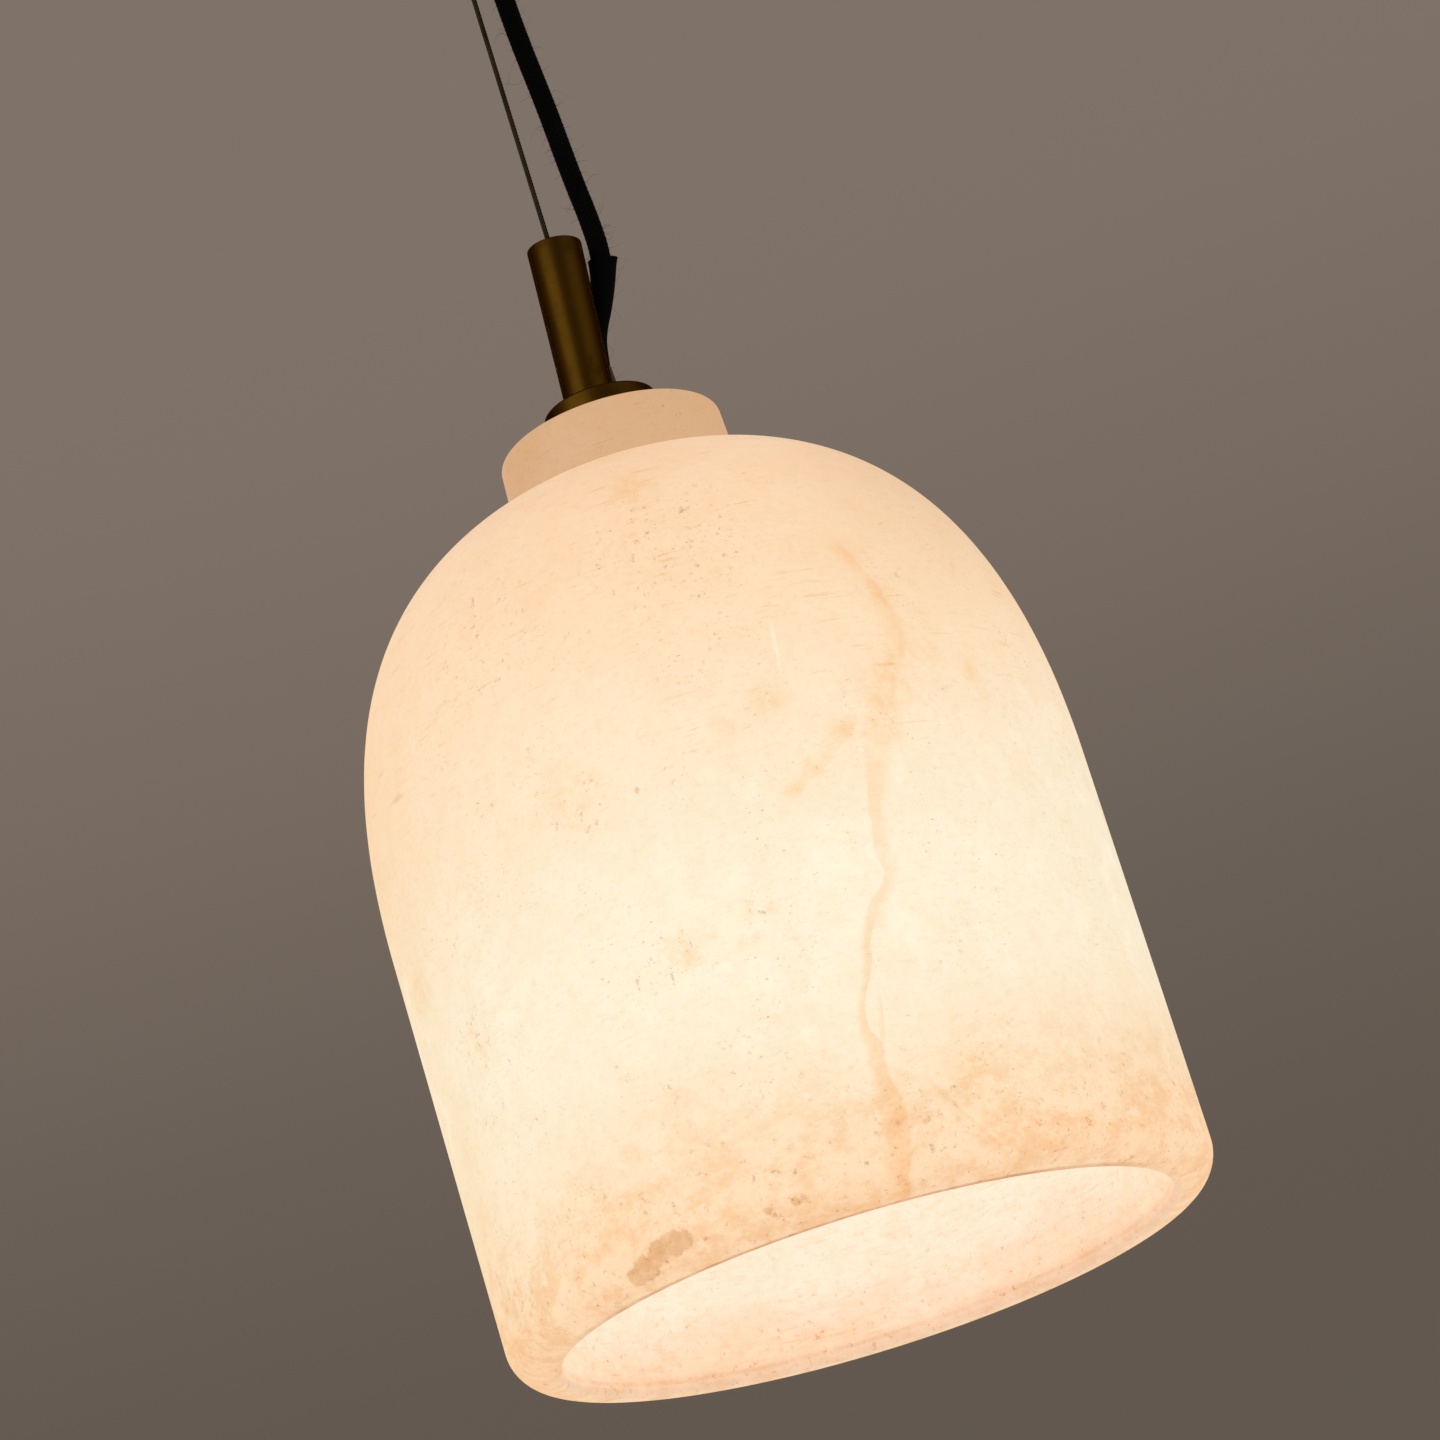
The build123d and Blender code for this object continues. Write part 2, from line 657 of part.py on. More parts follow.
with BuildPart() as alabaster_bell:
    with BuildSketch(Plane.XZ):
        with BuildLine():
            Line((0, lip_z), (lip_radius, lip_z))
            Line((lip_radius, lip_z), (shoulder_radius, shoulder_z))
            Bezier(*dome_curve(shoulder_radius, crown_z))
            Line((0, crown_z), (0, lip_z))
        make_face()
    revolve(axis=Axis.Z)
    with BuildSketch(Plane.XZ):
        with BuildLine():
            Polyline(
                (0, shoulder_z),
                (neck_base_radius, shoulder_z),
                (neck_base_radius, crown_z - neck_foot),
                (neck_top_radius, neck_top_z),
                (0, neck_top_z),
                close=True,
            )
        make_face()
    revolve(axis=Axis.Z)
    fillet(alabaster_bell.faces().sort_by(Axis.Z)[-1].edges(), neck_round)
    fillet(alabaster_bell.faces().sort_by(Axis.Z)[0].edges(), lip_round)
    with BuildSketch(Plane.XZ):
        with BuildLine():
            Line((0, lip_z), (inner_lip_radius, lip_z))
            Line((inner_lip_radius, lip_z), (inner_shoulder_radius, shoulder_z))
            Bezier(*dome_curve(inner_shoulder_radius, inner_crown_z))
            Line((0, inner_crown_z), (0, lip_z))
        make_face()
    revolve(axis=Axis.Z, mode=Mode.SUBTRACT)
    with BuildSketch(Plane.XY.offset(inner_crown_z)):
        Circle(seat_radius)
    extrude(amount=-seat_cut, mode=Mode.SUBTRACT)
    with BuildSketch(Plane.XY.offset(neck_top_z)):
        Circle(stone_hole_radius)
    extrude(amount=inner_crown_z - neck_top_z, mode=Mode.SUBTRACT)
    lip_edges = alabaster_bell.edges().filter_by(GeomType.CIRCLE).group_by(Axis.Z)[0]
    fillet(lip_edges.sort_by(SortBy.RADIUS)[0], lip_inner_round)
alabaster_bell.part.label = "alabaster_bell"
export_step(alabaster_bell.part, "parts/alabaster_bell.step")

# ---------------------------------------------------------------- clamp inside the crown
with BuildPart() as bell_washer:
    with BuildSketch(Plane.XY.offset(washer_z)):
        Circle(plate_radius)
        Circle(stone_hole_radius, mode=Mode.SUBTRACT)
    extrude(amount=washer_thickness)
bell_washer.part.label = "bell_washer"
export_step(bell_washer.part, "parts/bell_washer.step")

with BuildPart() as clamp_plate:
    with BuildSketch(Plane.XY.offset(plate_z)):
        Circle(plate_radius)
        Circle(thread_hole(nipple_radius), mode=Mode.SUBTRACT)
        with Locations(gland_place):
            Circle(gland_bore_radius, mode=Mode.SUBTRACT)
    extrude(amount=plate_thickness)
clamp_plate.part.label = "clamp_plate"
export_step(clamp_plate.part, "parts/clamp_plate.step")

lamp_nipple_top_z = flange_base_z + nipple_pocket - seat_gap
with BuildPart() as lamp_nipple:
    with BuildSketch(Plane.XY.offset(bracket_nut_z)):
        Circle(nipple_radius)
        Circle(lamp_nipple_bore, mode=Mode.SUBTRACT)
    extrude(amount=lamp_nipple_top_z - bracket_nut_z)
lamp_nipple.part.label = "lamp_nipple"
export_step(lamp_nipple.part, "parts/lamp_nipple.step")

with BuildPart() as clamp_nut:
    with BuildSketch(Plane.XY.offset(clamp_nut_z)):
        RegularPolygon(clamp_nut_flats / 2, 6, major_radius=False)
        Circle(thread_hole(nipple_radius), mode=Mode.SUBTRACT)
    extrude(amount=clamp_nut_thickness)
clamp_nut.part.label = "clamp_nut"
export_step(clamp_nut.part, "parts/clamp_nut.step")

half_span = bracket_span / 2
foot_screw_x = half_span - (bracket_foot + bracket_sheet) / 2
with BuildPart() as holder_bracket:
    with BuildSketch(Plane.XZ.offset(-bracket_width / 2)):
        with BuildLine():
            Polyline(
                (-half_span, bracket_z + bracket_sheet),
                (half_span, bracket_z + bracket_sheet),
                (half_span, holder_top_z),
                (half_span - bracket_foot, holder_top_z),
                (half_span - bracket_foot, holder_top_z + bracket_sheet),
                (half_span - bracket_sheet, holder_top_z + bracket_sheet),
                (half_span - bracket_sheet, bracket_z),
                (-half_span + bracket_sheet, bracket_z),
                (-half_span + bracket_sheet, holder_top_z + bracket_sheet),
                (-half_span + bracket_foot, holder_top_z + bracket_sheet),
                (-half_span + bracket_foot, holder_top_z),
                (-half_span, holder_top_z),
                close=True,
            )
        make_face()
    extrude(amount=bracket_width)
    with BuildSketch(Plane.XY.offset(bracket_z)):
        Circle(thread_hole(nipple_radius))
    extrude(amount=bracket_sheet, mode=Mode.SUBTRACT)
    with BuildSketch(Plane.XY.offset(holder_top_z)):
        with GridLocations(2 * foot_screw_x, 0, 2, 1):
            Circle(thread_hole(holder_screw_radius))
    extrude(amount=bracket_sheet, mode=Mode.SUBTRACT)
holder_bracket.part.label = "holder_bracket"
export_step(holder_bracket.part, "parts/holder_bracket.step")

with BuildPart() as bracket_nut:
    with BuildSketch(Plane.XY.offset(bracket_nut_z)):
        RegularPolygon(nut_flats / 2, 6, major_radius=False)
        Circle(thread_hole(nipple_radius), mode=Mode.SUBTRACT)
    extrude(amount=bracket_nut_thickness)
bracket_nut.part.label = "bracket_nut"
export_step(bracket_nut.part, "parts/bracket_nut.step")

# ---------------------------------------------------------------- lampholder
with BuildPart() as lampholder:
    with BuildSketch(Plane.XZ):
        with BuildLine():
            Polyline(
                (0, holder_rim_z),
                (holder_rim_radius, holder_rim_z),
                (holder_rim_radius, cavity_roof_z - holder_step),
                (holder_top_radius, cavity_roof_z),
                (holder_top_radius, holder_top_z),
                (0, holder_top_z),
                close=True,
            )
        make_face()
    revolve(axis=Axis.Z)
    fillet(lampholder.edges().filter_by(GeomType.CIRCLE), holder_round)
    with BuildSketch(Plane.XY.offset(holder_rim_z)):
        Circle(holder_cavity_radius)
    extrude(amount=holder_cavity_depth, mode=Mode.SUBTRACT)
    with BuildSketch(Plane.XY.offset(holder_top_z)):
        with GridLocations(2 * foot_screw_x, 0, 2, 1):
            Circle(thread_hole(holder_screw_radius))
    extrude(amount=-holder_screw_depth - seat_gap, mode=Mode.SUBTRACT)
lampholder.part.label = "lampholder"
export_step(lampholder.part, "parts/lampholder.step")

foot_top_z = holder_top_z + bracket_sheet
with BuildPart() as holder_screws:
    with BuildSketch(Plane.XY.offset(foot_top_z)):
        with GridLocations(2 * foot_screw_x, 0, 2, 1):
            Circle(holder_screw_head_radius)
    extrude(amount=holder_screw_head_height)
    chamfer(holder_screws.edges().group_by(Axis.Z)[-1], holder_screw_chamfer)
    with BuildSketch(Plane.XY.offset(foot_top_z)):
        with GridLocations(2 * foot_screw_x, 0, 2, 1):
            Circle(holder_screw_radius)
    extrude(amount=-bracket_sheet - holder_screw_depth)
holder_screws.part.label = "holder_screws"
export_step(holder_screws.part, "parts/holder_screws.step")


def thread_outline(radius, depth, top_z, turns, pitch):
    """Rounded ridges down a rolled thread, one arc a turn, from the top."""
    for turn in range(turns):
        start_z = top_z - turn * pitch
        ThreePointArc(
            (radius, start_z),
            (radius + depth, start_z - pitch / 2),
            (radius, start_z - pitch),
        )


shell_inner_radius = shell_outer_radius - shell_wall
with BuildPart() as screw_shell:
    with BuildSketch(Plane.XY.offset(cavity_roof_z - shell_length)):
        Circle(shell_outer_radius)
        Circle(shell_inner_radius, mode=Mode.SUBTRACT)
    extrude(amount=shell_length)
    with BuildSketch(Plane.XY.offset(cavity_roof_z - shell_wall)):
        Circle(shell_outer_radius)
        Circle(shell_roof_hole, mode=Mode.SUBTRACT)
    extrude(amount=shell_wall)
screw_shell.part.label = "screw_shell"
export_step(screw_shell.part, "parts/screw_shell.step")

with BuildPart() as centre_contact:
    with BuildSketch(Plane.XY.offset(contact_z)):
        Circle(contact_radius)
    extrude(amount=contact_thickness)
centre_contact.part.label = "centre_contact"
export_step(centre_contact.part, "parts/centre_contact.step")

terminal_x, terminal_y = terminal_place
with BuildPart() as holder_terminals:
    with BuildSketch(Plane.XY.offset(holder_top_z)):
        with Locations((-terminal_x, terminal_y), (terminal_x, terminal_y)):
            Circle(terminal_radius)
    extrude(amount=terminal_height)
    chamfer(holder_terminals.edges().group_by(Axis.Z)[-1], terminal_chamfer)
holder_terminals.part.label = "holder_terminals"
export_step(holder_terminals.part, "parts/holder_terminals.step")

# ---------------------------------------------------------------- bulb
tip_base_z = bulb_top_z - tip_height
insulator_base_z = tip_base_z - insulator_height
shell_base_z = insulator_base_z - bulb_thread_turns * bulb_thread_pitch - bulb_shell_rim
globe_z = bulb_base_z + bulb_radius  # centre of the round end

with BuildPart() as bulb_tip:
    with BuildSketch(Plane.XY.offset(tip_base_z)):
        Circle(tip_radius)
    extrude(amount=tip_height)
    fillet(bulb_tip.edges().group_by(Axis.Z)[-1], tip_round)
bulb_tip.part.label = "bulb_tip"
export_step(bulb_tip.part, "parts/bulb_tip.step")

with BuildPart() as bulb_insulator:
    with BuildSketch(Plane.XY.offset(insulator_base_z)):
        Circle(bulb_shell_radius - bulb_shell_wall)
    with BuildSketch(Plane.XY.offset(tip_base_z)):
        Circle(insulator_tip_radius)
    loft()
bulb_insulator.part.label = "bulb_insulator"
export_step(bulb_insulator.part, "parts/bulb_insulator.step")

with BuildPart() as bulb_shell:
    with BuildSketch(Plane.XZ):
        with BuildLine():
            thread_outline(
                bulb_shell_radius,
                bulb_thread_depth,
                insulator_base_z,
                bulb_thread_turns,
                bulb_thread_pitch,
            )
            Polyline(
                (bulb_shell_radius, shell_base_z + bulb_shell_rim),
                (bulb_shell_radius, shell_base_z),
                (bulb_shell_radius - bulb_shell_wall, shell_base_z),
                (bulb_shell_radius - bulb_shell_wall, insulator_base_z),
                (bulb_shell_radius, insulator_base_z),
            )
        make_face()
    revolve(axis=Axis.Z)
bulb_shell.part.label = "bulb_shell"
export_step(bulb_shell.part, "parts/bulb_shell.step")


def globe_outline(inset):
    """The bulb's profile in from its outer glass, from the round end up to the neck."""
    radius = bulb_radius - inset
    neck_radius = bulb_neck_radius - inset
    Line((0, shell_base_z), (0, globe_z - radius))
    CenterArc((0, globe_z), radius, -90, 90)
    Bezier(
        (radius, globe_z),
        (radius, globe_z + bulb_flank_pull),
        (neck_radius, shell_base_z - bulb_neck_pull),
        (neck_radius, shell_base_z),
    )
    Line((neck_radius, shell_base_z), (0, shell_base_z))


with BuildPart() as bulb_glass:
    with BuildSketch(Plane.XZ):
        with BuildLine():
            globe_outline(0)
        make_face()
    revolve(axis=Axis.Z)
    with BuildSketch(Plane.XZ):
        with BuildLine():
            globe_outline(bulb_glass_wall)
        make_face()
    revolve(axis=Axis.Z, mode=Mode.SUBTRACT)
bulb_glass.part.label = "bulb_glass"
export_step(bulb_glass.part, "parts/bulb_glass.step")

# the glass stem inside, closing the neck and carrying the filaments
stem_disc_radius = bulb_neck_radius - bulb_glass_wall - seat_gap
with BuildPart() as bulb_stem:
    with BuildSketch(Plane.XY.offset(shell_base_z)):
        Circle(stem_disc_radius)
    extrude(amount=stem_disc_thickness)
    with BuildSketch(Plane.XY.offset(shell_base_z)):
        Circle(stem_radius)
    extrude(amount=-stem_height)
    fillet(bulb_stem.edges().group_by(Axis.Z)[0], stem_round)
bulb_stem.part.label = "bulb_stem"
export_step(bulb_stem.part, "parts/bulb_stem.step")

filament_top_z = shell_base_z - filament_drop
filament_ring = stem_radius + filament_radius + seat_gap
with BuildPart() as led_filaments:
    for turn in range(filament_count):
        around = turn * 360 / filament_count
        outward = Vector(1, 0, 0).rotate(Axis.Z, around)
        along = Vector(sin(radians(filament_lean)), 0, -cos(radians(filament_lean))).rotate(Axis.Z, around)
        with BuildSketch(Plane(outward * filament_ring + Vector(0, 0, filament_top_z), z_dir=along)):
            Circle(filament_radius)
        extrude(amount=filament_length)
led_filaments.part.label = "led_filaments"
export_step(led_filaments.part, "parts/led_filaments.step")

# ---------------------------------------------------------------- textile cord
cord_places = route(cord_points)
cord_radii = bend_radii(cord_places, run_share)
print("cord bend radii", [round(radius, 1) for radius in cord_radii])
with BuildPart() as power_cord:
    with BuildLine() as cord_line:
        FilletPolyline(*cord_places, radius=cord_radii)
    with BuildSketch(Plane(cord_line.line @ 0, z_dir=cord_line.line % 0)):
        Circle(cord_radius)
    sweep()
power_cord.part.label = "power_cord"
export_step(power_cord.part, "parts/power_cord.step")
cord_path = cord_line.wire()
cord_length = cord_path.length
print("cord length", round(cord_length, 1))
cord_fill = pi * cord_radius**2 * cord_length
print("cord volume", round(power_cord.part.volume), "section times length", round(cord_fill))

# the shrunk sleeve over the cord's lower end, from the top of the relief up
gland_x, gland_y = gland_place
relief_base_z = flange_top_z + gland_height
relief_top_z = relief_base_z + relief_height
shrink_start = cord_end_depth + gland_height + relief_height + shrink_lift  # from the cord's lower end
shrink_bore = cord_radius + shrink_gap
with BuildPart() as heat_shrink:
    with BuildLine() as shrink_line:
        upper_share = 1 - (shrink_start + shrink_length) / cord_length
        add(cord_path.trim(upper_share, 1 - shrink_start / cord_length))
    with BuildSketch(Plane(shrink_line.line @ 0, z_dir=shrink_line.line % 0)):
        Circle(shrink_bore + shrink_thickness)
        Circle(shrink_bore, mode=Mode.SUBTRACT)
    sweep()
heat_shrink.part.label = "heat_shrink"
export_step(heat_shrink.part, "parts/heat_shrink.step")

with BuildPart() as cord_gland:
    with BuildSketch(Plane.XY.offset(flange_top_z)):
        with Locations(gland_place):
            Circle(gland_radius)
    extrude(amount=gland_height)
    fillet(cord_gland.edges().group_by(Axis.Z)[-1], gland_round)
    with BuildSketch(Plane.XY.offset(flange_top_z)):
        with Locations(gland_place):
            Circle(gland_shank_radius)
    extrude(amount=-flange_thickness)
    with BuildSketch(Plane.XY.offset(relief_base_z)):
        with Locations(gland_place):
            Circle(gland_bore_radius)
    extrude(amount=-gland_height - flange_thickness, mode=Mode.SUBTRACT)
cord_gland.part.label = "cord_gland"
export_step(cord_gland.part, "parts/cord_gland.step")

with BuildPart() as cord_relief:
    with BuildSketch(Plane.XY.offset(relief_base_z)):
        with Locations(gland_place):
            Circle(relief_base_radius)
    with BuildSketch(Plane.XY.offset(relief_top_z)):
        with Locations(gland_place):
            Circle(relief_top_radius)
    loft()
    with BuildSketch(Plane.XY.offset(relief_base_z)):
        with Locations(gland_place):
            Circle(relief_bore_radius)
    extrude(amount=relief_height, mode=Mode.SUBTRACT)
cord_relief.part.label = "cord_relief"
export_step(cord_relief.part, "parts/cord_relief.step")

# ---------------------------------------------------------------- leads
# The two cores lie side by side across the line from the lamp's axis to the cord.
with BuildPart() as canopy_leads:
    for column, spread in zip(lead_columns, (-lead_spread, lead_spread)):
        with BuildLine() as lead_line:
            FilletPolyline(
                (cord_x, cord_y + spread, cord_top_z),
                (cord_x, cord_y + spread, lead_z),
                (column, cord_y + spread, lead_z),
                (column, block_face_y - lead_entry, lead_z),
                radius=lead_bend,
            )
        with BuildSketch(Plane(lead_line.line @ 0, z_dir=lead_line.line % 0)):
            Circle(lead_radius)
        sweep()
canopy_leads.part.label = "canopy_leads"
export_step(canopy_leads.part, "parts/canopy_leads.step")

cord_end_z = flange_top_z - cord_end_depth
gland_distance = hypot(gland_x, gland_y)
across_x, across_y = gland_y / gland_distance, -gland_x / gland_distance
with BuildPart() as lamp_leads:
    for side in (-1, 1):
        lead_x = gland_x + side * lead_spread * across_x
        lead_y = gland_y + side * lead_spread * across_y
        with BuildLine() as lead_line:
            FilletPolyline(
                (lead_x, lead_y, cord_end_z),
                (lead_x, lead_y, bracket_nut_z),
                (side * terminal_x, terminal_y, holder_top_z + lead_drop),
                (side * terminal_x, terminal_y, holder_top_z + terminal_height),
                radius=lead_bend,
            )
        with BuildSketch(Plane(lead_line.line @ 0, z_dir=lead_line.line % 0)):
            Circle(lead_radius)
        sweep()
lamp_leads.part.label = "lamp_leads"
export_step(lamp_leads.part, "parts/lamp_leads.step")
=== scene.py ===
"""Dresses the alabaster bell pendant: lit stone, darkened brass, stranded wire and black textile cord.

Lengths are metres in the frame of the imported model: +Z is up, z = 0 is the ceiling, X runs to the right
and Y away from the viewer. Sizes written as millimetres are multiplied by MM.
"""
import logging
from dataclasses import dataclass
from enum import Enum
from functools import cached_property
from math import cos, pi, radians, sin

import bmesh
import bpy
import numpy as np
from mathutils import Matrix, Vector


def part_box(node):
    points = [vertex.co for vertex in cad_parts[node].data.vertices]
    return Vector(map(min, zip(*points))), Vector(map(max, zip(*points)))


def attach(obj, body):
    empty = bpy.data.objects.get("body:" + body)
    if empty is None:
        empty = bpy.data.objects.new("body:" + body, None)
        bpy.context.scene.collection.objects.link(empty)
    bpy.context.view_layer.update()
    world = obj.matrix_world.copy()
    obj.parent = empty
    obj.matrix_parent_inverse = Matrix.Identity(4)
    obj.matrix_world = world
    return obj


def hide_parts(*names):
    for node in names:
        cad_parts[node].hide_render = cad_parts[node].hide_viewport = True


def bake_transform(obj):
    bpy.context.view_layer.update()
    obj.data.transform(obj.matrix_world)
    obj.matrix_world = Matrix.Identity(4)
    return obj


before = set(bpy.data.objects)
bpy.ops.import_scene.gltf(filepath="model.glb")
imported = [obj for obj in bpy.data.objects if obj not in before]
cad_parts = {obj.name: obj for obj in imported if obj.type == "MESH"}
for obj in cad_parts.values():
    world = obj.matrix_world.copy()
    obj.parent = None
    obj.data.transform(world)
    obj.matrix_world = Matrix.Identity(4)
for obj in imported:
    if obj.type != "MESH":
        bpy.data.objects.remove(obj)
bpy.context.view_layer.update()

MM = 0.001
SHARP = radians(55)  # edges sharper than this are drawn as edges
log = logging.getLogger("pendant")

Colour = tuple[float, float, float]
Place = tuple[float, float, float]
Point = tuple[float, float]
Stops = tuple[tuple[float, Colour], ...]  # places on a ramp and their colours


# ------------------------------------------------------------------ meshes from grids of points
def stand(name: str, data: bpy.types.ID) -> bpy.types.Object:
    """Stands data in the scene as an object at the origin, unturned and unscaled.

    Args:
        name: the object's name.
        data: its mesh, curve, light or camera.

    Returns:
        The new object.
    """
    made = bpy.data.objects.new(name, data)
    bpy.context.scene.collection.objects.link(made)
    return made


def quads_of(row: np.ndarray, column: np.ndarray, rows: int, columns: int) -> np.ndarray:
    """The corners of a grid's quads: (i, j), (i, j + 1), (i + 1, j + 1) and (i + 1, j), going round.

    Args:
        row: the first row of each line of quads, shape (n, 1).
        column: the first column of each quad, shape (1, m).
        rows: how many rows there are before they begin again.
        columns: how many columns there are before they begin again.

    Returns:
        Four point numbers for each quad, shape (n * m, 4).
    """
    below, beside = (row + 1) % rows, (column + 1) % columns
    here, under = row * columns, below * columns
    corners = (here + column, here + beside, under + beside, under + column)
    return np.stack(np.broadcast_arrays(*corners), axis=-1).reshape(-1, 4)


def surface(
    name: str, grid: np.ndarray, wrap_rows: bool = False, marks: dict[str, np.ndarray] | None = None
) -> bpy.types.Object:
    """A closed skin of quads over a grid of points whose columns go all the way round.

    Rows drawn in to one point close the ends: their doubles are merged, and then every face is turned to
    point outwards.

    Args:
        name: the object's name.
        grid: points, shape (rows, columns, 3), in metres.
        wrap_rows: whether the last row joins the first, as on a ring.
        marks: per-point values by attribute name, each of shape (rows, columns).

    Returns:
        The new object.
    """
    rows, columns = grid.shape[:2]
    row = np.arange(rows if wrap_rows else rows - 1)[:, None]
    quads = quads_of(row, np.arange(columns)[None, :], rows, columns)
    mesh = bpy.data.meshes.new(name)
    mesh.from_pydata(grid.reshape(-1, 3).tolist(), [], quads.tolist())
    for mark, values in (marks or {}).items():
        layer = mesh.attributes.new(mark, "FLOAT", "POINT")
        layer.data.foreach_set("value", np.ascontiguousarray(values, dtype=np.float32).ravel())
    work = bmesh.new()
    work.from_mesh(mesh)
    bmesh.ops.remove_doubles(work, verts=work.verts, dist=0.001 * MM)
    bmesh.ops.recalc_face_normals(work, faces=work.faces)
    work.to_mesh(mesh)
    work.free()
    mesh.set_sharp_from_angle(angle=SHARP)
    return stand(name, mesh)


def arc(centre: Point, radius: float, start: float, end: float, count: int) -> np.ndarray:
    """Points on a circle's arc: centre plus radius times (cosine, sine) of the angle, in degrees."""
    angle = np.radians(np.linspace(start, end, count))
    return np.stack([centre[0] + radius * np.cos(angle), centre[1] + radius * np.sin(angle)], axis=1)


def line(start: Point, end: Point, count: int) -> np.ndarray:
    """Evenly spaced points from start to end, both included."""
    share = np.linspace(0.0, 1.0, count)[:, None]
    return (1 - share) * np.array(start) + share * np.array(end)


def bezier(points: tuple[Point, ...], count: int) -> np.ndarray:
    """Points on a cubic curve: the four points weighted (1-t)^3, 3t(1-t)^2, 3t^2(1-t) and t^3.

    Args:
        points: the curve's two ends, with their handles between them.
        count: how many points to give.

    Returns:
        The points, shape (count, 2).
    """
    share = np.linspace(0.0, 1.0, count)[:, None]
    rest = 1 - share
    weights = (rest**3, 3 * share * rest**2, 3 * share**2 * rest, share**3)
    return sum(weight * np.array(point) for weight, point in zip(weights, points))


def reach_of(path: np.ndarray) -> np.ndarray:
    """How far along a path each of its points lies: the lengths of its parts, added up."""
    return np.concatenate([[0.0], np.cumsum(np.linalg.norm(np.diff(path, axis=0), axis=1))])


def read_path(at: np.ndarray, reach: np.ndarray, path: np.ndarray) -> np.ndarray:
    """The path's points at the given values of reach, between its own points in straight lines."""
    return np.stack([np.interp(at, reach, path[:, axis]) for axis in range(3)], axis=-1)


def along_path(path: np.ndarray, step: float) -> tuple[np.ndarray, np.ndarray]:
    """A path taken at even steps of its own length.

    Args:
        path: points, shape (n, 3).
        step: the spacing wanted, in metres.

    Returns:
        The new points and how far along the path each one lies.
    """
    reach = reach_of(path)
    along = np.linspace(0.0, reach[-1], max(2, int(round(reach[-1] / step)) + 1))
    return read_path(along, reach, path), along


def around_of(sides: int) -> np.ndarray:
    """The angles of a ring's points, evenly spaced."""
    return np.arange(sides) * 2 * pi / sides


def tube(
    name: str,
    path: np.ndarray,
    along: np.ndarray,
    radius: "np.ndarray | float",
    sides: int,
    marks: dict[str, np.ndarray] | None = None,
) -> bpy.types.Object:
    """A tube along a path that runs mostly up and down, closed at both ends.

    A ring stands square to the path at each point: the path's direction t is taken from its neighbours,
    one side vector is the X axis less its share along t, and the other is their cross product. A point of
    the ring is the path's point plus radius times (cosine, sine) of its angle along those two vectors.

    Args:
        name: the object's name.
        path: the centre line, shape (n, 3).
        along: the distance along the path at each point.
        radius: one number, or an array of shape (n, sides).
        sides: points in each ring.
        marks: values by attribute name, each of shape (n, sides).

    Returns:
        The new object.
    """
    direction = np.gradient(path, along, axis=0)
    direction /= np.linalg.norm(direction, axis=1, keepdims=True)
    across = np.array([1.0, 0.0, 0.0]) - direction * direction[:, :1]
    across /= np.linalg.norm(across, axis=1, keepdims=True)
    other = np.cross(direction, across)[:, None, :]
    angle = around_of(sides)[None, :, None]
    size = np.broadcast_to(np.asarray(radius, dtype=float), (len(path), sides))[..., None]
    grid = path[:, None, :] + size * (np.cos(angle) * across[:, None, :] + np.sin(angle) * other)
    first, last = (np.repeat(point[None, None, :], sides, axis=1) for point in (path[0], path[-1]))
    padded = {
        mark: np.concatenate([values[:1], values, values[-1:]]) for mark, values in (marks or {}).items()
    }
    return surface(name, np.concatenate([first, grid, last]), marks=padded)


def join(parts: list[bpy.types.Object], name: str) -> bpy.types.Object:
    """Joins meshes into one smooth object.

    Args:
        parts: the objects to join, which are removed.
        name: the new object's name.

    Returns:
        The new object.
    """
    work = bmesh.new()
    mesh = bpy.data.meshes.new(name)
    for part in parts:
        work.from_mesh(part.data)
        bpy.data.meshes.remove(part.data)
    work.to_mesh(mesh)
    work.free()
    mesh.shade_smooth()
    return stand(name, mesh)


# ------------------------------------------------------------------ laying out shader nodes
class Effect(Enum):
    """Surface effects that several finishes share: each one's node group and its number inputs."""

    CLOUDS = ("soft clouds", ("Scale", "Low", "High"))
    TURNING = ("turning lines", ("Lines", "Breaks", "Cut"))
    GRAIN = ("fine grain", ("Scale", "Amount"))
    WEAR = ("handling wear", ("Scale", "Specks"))


@dataclass(frozen=True)
class Value:
    """A node's output to reckon with: each sign or method adds the node that works out its result."""

    shade: "Shade"
    socket: bpy.types.NodeSocket

    def maths(self, operation: str, *others: "Value | float", clamp: bool = False) -> "Value":
        """The result of an arithmetic node that has this value as its first input."""
        inputs = dict(enumerate((self, *others)))
        return self.shade.get("Math", 0, inputs, operation=operation, use_clamp=clamp)

    def __add__(self, other: "Value | float") -> "Value":
        """The sum of the two."""
        return self.maths("ADD", other)

    def __sub__(self, other: "Value | float") -> "Value":
        """This less the other."""
        return self.maths("SUBTRACT", other)

    def __mul__(self, other: "Value | float") -> "Value":
        """The product of the two."""
        return self.maths("MULTIPLY", other)

    def __truediv__(self, other: "Value | float") -> "Value":
        """This over the other."""
        return self.maths("DIVIDE", other)

    def __abs__(self) -> "Value":
        """The value without its sign."""
        return self.maths("ABSOLUTE")

    def most(self, other: "Value") -> "Value":
        """The larger of the two."""
        return self.maths("MAXIMUM", other)

    def held(self) -> "Value":
        """The value held between 0 and 1."""
        return self.maths("ADD", 0.0, clamp=True)

    def span(
        self, low: "Value | float", high: "Value | float", to_low: float = 0.0, to_high: float = 1.0
    ) -> "Value":
        """Maps the value from low..high onto to_low..to_high with soft ends, held there outside."""
        inputs = {"Value": self, "From Min": low, "From Max": high, "To Min": to_low, "To Max": to_high}
        return self.shade.get("MapRange", "Result", inputs, interpolation_type="SMOOTHSTEP")


